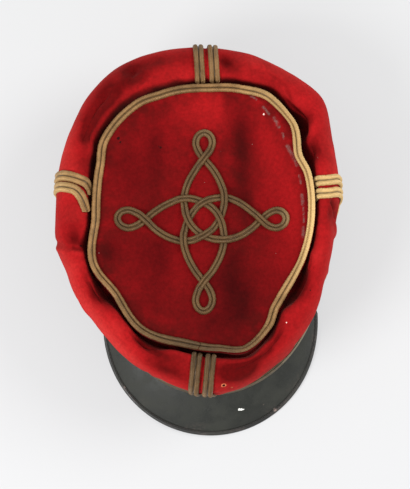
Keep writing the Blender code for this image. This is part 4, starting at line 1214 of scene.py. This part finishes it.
def peakPoint(off, share, clear=0.0):
    foot, out = bandFace(270.0 + off)
    reach = peakReach(off)
    edge = foot + out * reach
    table = -(band["halfLength"] - edge.y) * math.tan(seat["lean"])
    laid = min(1.0, reach / peakReach(peak["touch"]))
    drop = table * laid * (2.0 - laid) + peak["binding"]
    whole = reach - band["clear"] - peak["binding"]
    part = share * (1.0 - clear / whole)
    flat = foot + out * (band["clear"] + whole * part)
    height = peak["start"] + (drop - peak["start"]) * part
    height += peak["crowning"] * math.sin(math.pi * part) * laid
    return Vector((flat.x, flat.y, height))


def leatherMaterial(name, base, edgeShare, grained):
    material, tree, shader, place = newMaterial(name, Specular_IOR_Level=0.38)
    worn = painted(tree, "worn")
    cloudy = between(tree, speckle(tree, place, 55.0, 5.0, 0.6), 0.36, 0.70)
    colour = mixed(tree, sums(tree, "MULTIPLY", cloudy, 0.6), base, peak["worn"])
    scuffed = between(tree, speckle(tree, place, 310.0, 5.0, 0.75), 0.55, 0.70)
    colour = mixed(tree, sums(tree, "MULTIPLY", scuffed, edgeShare), colour, peak["worn"])
    rubbed = sums(tree, "MULTIPLY", worn, between(tree, speckle(tree, place, 500.0), 0.42, 0.58))
    colour = mixed(tree, rubbed, colour, peak["rubbed"])
    top = Vector((0.0, 0.0, peak["thickness"] / 2))
    for tone, marks in (("rubbed", peak["scuffs"]), ("chipped", peak["chips"])):
        spots = [(peakPoint(off, share) + top, radius) for off, share, radius in marks]
        colour = mixed(tree, nearSpots(tree, place, spots), colour, peak[tone])
    tree.links.new(colour, shader.inputs["Base Color"])
    rough = between(tree, cloudy, 0.0, 1.0, 0.42, 0.66)
    tree.links.new(rough, shader.inputs["Roughness"])
    grain = addNode(
        tree, "ShaderNodeTexVoronoi", {"Vector": place, "Scale": 780.0},
        feature="DISTANCE_TO_EDGE",
    ).outputs["Distance"]
    bumps(tree, shader, (between(tree, grain, 0.0, 0.10), grained, 0.00012),
          (speckle(tree, place, 220.0, 4.0), 0.35, 0.0003))
    return material


leatherTip = peakTip(2 * (peak["binding"] + band["clear"]) + peak["tip"])
peakLeather = leatherMaterial("peak_leather", peak["leather"], 0.35, 0.5)
bindingLeather = leatherMaterial("binding_leather", peak["edge"], 0.30, 0.2)


def makePeak():
    clear = peak["binding"] * 0.6
    columns, rows = peak["columns"], peak["rows"]
    angles = [leatherTip * (2.0 * i / columns - 1.0) for i in range(columns + 1)]
    upper, lower, worn, uvs = [], [], [], []
    for j in range(rows + 1):
        share = j / rows
        for off in angles:
            point = peakPoint(off, share, clear)
            lift = 0.00025 * noise.noise(point * 45.0) * math.sin(math.pi * share)
            upper.append(point + Vector((0.0, 0.0, peak["thickness"] / 2 + lift)))
            lower.append(point - Vector((0.0, 0.0, peak["thickness"] / 2)))
            worn.append(max(0.0, noise.noise(point * 60.0)) * 0.3 * ease(share, 0.7, 1.0))
            uvs.append((point.x, point.y))
    piece = makePiece("peak_leather", upper + lower, shellFaces(rows + 1, columns + 1),
                      [peakLeather], uvs=uvs * 2, paint={"worn": worn * 2})
    hand(piece, "peak_leather", "peak")


def makeBinding():
    tip, steps, sides = (
        peakTip(2 * peak["binding"] + band["clear"]), peak["bindingSteps"], peak["bindingSides"])
    angles = [tip * (2.0 * i / steps - 1.0) for i in range(steps + 1)]
    path = [peakPoint(off, 1.0) for off in angles]
    ups = [(p - peakPoint(off, 0.8)).normalized() for p, off in zip(path, angles)]
    section = []
    for i in range(sides):
        turn = 2 * math.pi * i / sides
        section.append((peak["binding"] * math.cos(turn), peak["binding"] * math.sin(turn)))
    points, faces = sweptMesh(path, ups, section, False)
    for i, middle in enumerate(path):  # rolled thinner at both ends
        whole = ease(min(i, steps - i), 0.0, peak["endSteps"])
        thin = peak["endThin"] + (1.0 - peak["endThin"]) * whole
        for k in range(i * sides, (i + 1) * sides):
            points[k] = middle + (points[k] - middle) * thin
    worn = [max(0.0, noise.noise(p * 50.0)) * 0.35 for p in points]
    piece = makePiece("peak_binding_roll", points, faces, [bindingLeather], paint={"worn": worn})
    hand(piece, "peak_leather", "peak_binding")


makePeak()
makeBinding()
print("peak ready")


def stitchTree():  # short bars of thread along a line that carries its way up
    tree, given = startTree("peak_stitches", "Pitch", "Length", "Thread Radius")
    half = sums(tree, "MULTIPLY", given["Length"], 0.5)
    back = sums(tree, "MULTIPLY", given["Length"], -0.5)
    sunk = sums(tree, "MULTIPLY", given["Thread Radius"], -1.2)
    high = sums(tree, "MULTIPLY", given["Thread Radius"], 1.6)
    ends = [addNode(tree, "ShaderNodeCombineXYZ", {0: x, 2: z}).outputs[0]
            for x, z in ((back, sunk), (back, high), (half, high), (half, sunk))]
    bar = threadTube(tree, given, ends)
    return setAlong(tree, given, [bar], (1.0, 1.0, 1.0), (1.0, 1.0, 1.0))


def blackMaterial():
    material, tree, shader, place = newMaterial("black_thread", Roughness=0.7)
    colour = mixed(tree, speckle(tree, place, 900.0), peak["black"], peak["greyed"])
    tree.links.new(colour, shader.inputs["Base Color"])
    return material


def sewPeak():
    tip, clear = leatherTip * peak["stitchEnd"], peak["stitchInset"] - peak["binding"]
    path, ups = [], []
    for i in range(peak["stitchSteps"] + 1):
        off = tip * (2.0 * i / peak["stitchSteps"] - 1.0)
        point = peakPoint(off, 1.0, clear)
        inner = peakPoint(off, 0.8, clear)
        beside = peakPoint(off + 0.3, 1.0, clear) - point
        up = beside.cross(point - inner).normalized()
        up = up if up.z > 0.0 else -up
        path.append(point + Vector((0.0, 0.0, peak["thickness"] / 2)))
        ups.append(up)
    mesh = runTree(path, ups, False, stitchTree(), {
        "Pitch": peak["stitchGap"], "Length": peak["stitch"], "Thread Radius": peak["stitchThread"],
        "Material": blackMaterial()})
    hand(addObject("peak_stitches", mesh), "peak_leather")


sewPeak()
print("peak stitches ready")

# Chin strap of flat gold lace, doubled on itself, and its two buttons
strap = dict(
    width=0.0090, thickness=0.0010, fold=0.0004, end=88.0, columns=220, turnSteps=9,
    ribs=5, ribSteps=6, channel=0.55, edge=0.985,
    tones=dict(gold=(0.25, 0.200, 0.125), dull=(0.14, 0.115, 0.075), bright=(0.50, 0.41, 0.24)),
)
# A button's rim from its back to its face is given in shares of its radius and of its rim
button = dict(
    radius=0.0065, rim=0.0012, rise=0.0026, sides=48, domeSteps=10, inset=1.1, sunk=0.8, dome=0.9,
    edge=((0.90, 0.0), (0.98, 0.15), (1.0, 0.5), (0.98, 0.85), (0.93, 1.0), (0.88, 0.92)),
    brass=(0.62, 0.42, 0.16), dull=(0.20, 0.13, 0.06),
)


def strapPlace(off, away):
    foot, out = bandFace(270.0 + off)
    out = out.to_3d()
    height = peak["start"] + peak["thickness"] / 2 + band["clear"] + strap["width"] / 2
    return Vector((foot.x, foot.y, height)) + out * away, out


goldLace = goldMaterial("gold_lace", 0.05, strap["tones"])


def makeStrap():
    inner = band["clear"] + strap["thickness"]
    path, ups = [], []
    for side, away in ((1.0, inner + strap["fold"]), (-1.0, inner)):
        for i in range(strap["columns"] + 1):
            point, out = strapPlace(side * strap["end"] * (2.0 * i / strap["columns"] - 1.0), away)
            path.append(point)
            ups.append(out * side)
        middle, out = strapPlace(side * strap["end"], inner + strap["fold"] / 2)
        ahead = Vector((-out.y, out.x, 0.0)) * side
        for step in range(1, strap["turnSteps"] + 1):
            turn = math.pi * step / (strap["turnSteps"] + 1)
            way = out * (side * math.cos(turn)) + ahead * math.sin(turn)
            path.append(middle + way * (strap["fold"] / 2))
            ups.append(way)
    half, ribs, steps = strap["width"] / 2, strap["ribs"], strap["ribs"] * strap["ribSteps"]
    section = [(-half, 0.0), (half, 0.0)]
    for i in range(steps + 1):
        across = 1.0 - 2.0 * i / steps
        crest = abs(math.sin(math.pi * ribs * (across + 1.0) / 2.0)) ** 0.6
        rise = strap["channel"] + (1.0 - strap["channel"]) * crest
        section.append((half * across * strap["edge"], strap["thickness"] * rise))
    points, faces = sweptMesh(path, ups, section, True)
    piece = makePiece("chin_strap_lace", points, faces, [goldLace])
    paintGlintAndShade(piece.data)
    hand(piece, "gold_braid", "chin_strap")


def brassMaterial():
    material, tree, shader, place = newMaterial("button_brass", Metallic=1.0)
    tarnish = between(tree, speckle(tree, place, 380.0, 5.0, 0.65), 0.40, 0.66)
    tree.links.new(
        mixed(tree, tarnish, button["brass"], button["dull"]), shader.inputs["Base Color"])
    tree.links.new(between(tree, tarnish, 0.0, 1.0, 0.28, 0.60), shader.inputs["Roughness"])
    bumps(tree, shader, (speckle(tree, place, 900.0, 3.0), 0.25, 0.0001))
    return material


buttonBrass = brassMaterial()


def makeButton(name, side):
    radius, rim, sides = button["radius"], button["rim"], button["sides"]
    shape = [(radius * wide, rim * high) for wide, high in button["edge"]]
    base = rim * button["dome"]
    for i in range(1, button["domeSteps"]):
        angle = math.radians(90.0 * i / button["domeSteps"])
        high = base + (rim + button["rise"] - base) * math.sin(angle)
        shape.append((radius * button["edge"][-1][0] * math.cos(angle), high))
    away = 2 * (band["clear"] + strap["thickness"]) + strap["fold"] - band["clear"] * button["sunk"]
    inset = math.degrees(radius * button["inset"] / band["halfWidth"])
    centre, out = strapPlace(side * (strap["end"] - inset), away)
    across = Vector((-out.y, out.x, 0.0))
    points = [centre]
    for reach, height in shape:
        for i in range(sides):
            turn = 2 * math.pi * i / sides
            points.append(centre + (across * math.cos(turn) + Vector((0, 0, math.sin(turn)))) * reach
                          + out * height)
    points.append(centre + out * (rim + button["rise"]))
    faces = gridFaces(len(shape), sides, 1, wrap=True)
    last = 1 + (len(shape) - 1) * sides
    for i in range(sides):
        k = (i + 1) % sides
        faces.append((0, 1 + k, 1 + i))
        faces.append((last + i, last + k, len(points) - 1))
    hand(makePiece(f"{name}_brass", points, faces, [buttonBrass]), "button_brass", name)


makeStrap()
makeButton("button_left", 1.0)
makeButton("button_right", -1.0)
print("strap and buttons ready")

# Pale table that glows a little, soft light from the lower left of the picture, and the camera
# above the peak, placed from the seat
studio = dict(
    table=(0.26, 0.26, 0.26), paler=(0.275, 0.275, 0.277), half=3.0,
    glow=0.46, glowTint=(0.985, 0.99, 1.0), sky=(0.94, 0.945, 0.95), skyStrength=0.76,
    key=dict(at=(-0.85, -0.60, 0.95), size=0.60, power=16.5),
    fill=dict(at=(0.95, 0.30, 0.95), size=0.80, power=13.0),
    camera=dict(aside=-0.00414, ahead=-0.18161, above=1.11546, down=80.0, lens=106.4),
)


def makeTable():
    mesh, half = bpy.data.meshes.new("table"), studio["half"]
    mesh.from_pydata([(-half, -half, 0), (half, -half, 0), (half, half, 0), (-half, half, 0)], [],
                     [(0, 1, 2, 3)])
    material, tree, shader, place = newMaterial("table_paper", Roughness=0.9, Specular_IOR_Level=0.1)
    cloudy = speckle(tree, place, 1.6, 2.0)
    colour = mixed(tree, between(tree, cloudy, 0.3, 0.7), studio["table"], studio["paler"])
    tree.links.new(colour, shader.inputs["Base Color"])
    shader.inputs["Emission Color"].default_value = (*studio["glowTint"], 1.0)
    shader.inputs["Emission Strength"].default_value = studio["glow"]
    mesh.materials.append(material)
    table = addObject("table", mesh)


def makeLights():
    world = bpy.data.worlds.new("studio")
    bpy.context.scene.world = world
    world.use_nodes = True
    sky = world.node_tree.nodes["Background"]
    sky.inputs["Color"].default_value = (*studio["sky"], 1.0)
    sky.inputs["Strength"].default_value = studio["skyStrength"]
    for name in ("key", "fill"):
        look = studio[name]
        light = bpy.data.lights.new(name, "AREA")
        light.shape, light.size, light.energy = "DISK", look["size"], look["power"]
        lamp = addObject(name, light)
        lamp.location = look["at"]
        lamp.rotation_euler = (-Vector(look["at"])).to_track_quat("-Z", "Y").to_euler()


def makeCamera():
    view = studio["camera"]
    camera = bpy.data.cameras.new("camera")
    camera.lens, camera.sensor_width, camera.sensor_fit = view["lens"], 36.0, "AUTO"
    camera.clip_start = 0.05
    eye = addObject("camera", camera)
    eye.location = (
        seat["side"] + view["aside"], seat["back"] + view["ahead"], seat["lift"] + view["above"])
    eye.rotation_euler = (math.radians(90.0 - view["down"]), 0.0, 0.0)
    bpy.context.scene.camera = eye
    bpy.context.scene.view_settings.view_transform = "Standard"


makeTable()
makeLights()
makeCamera()
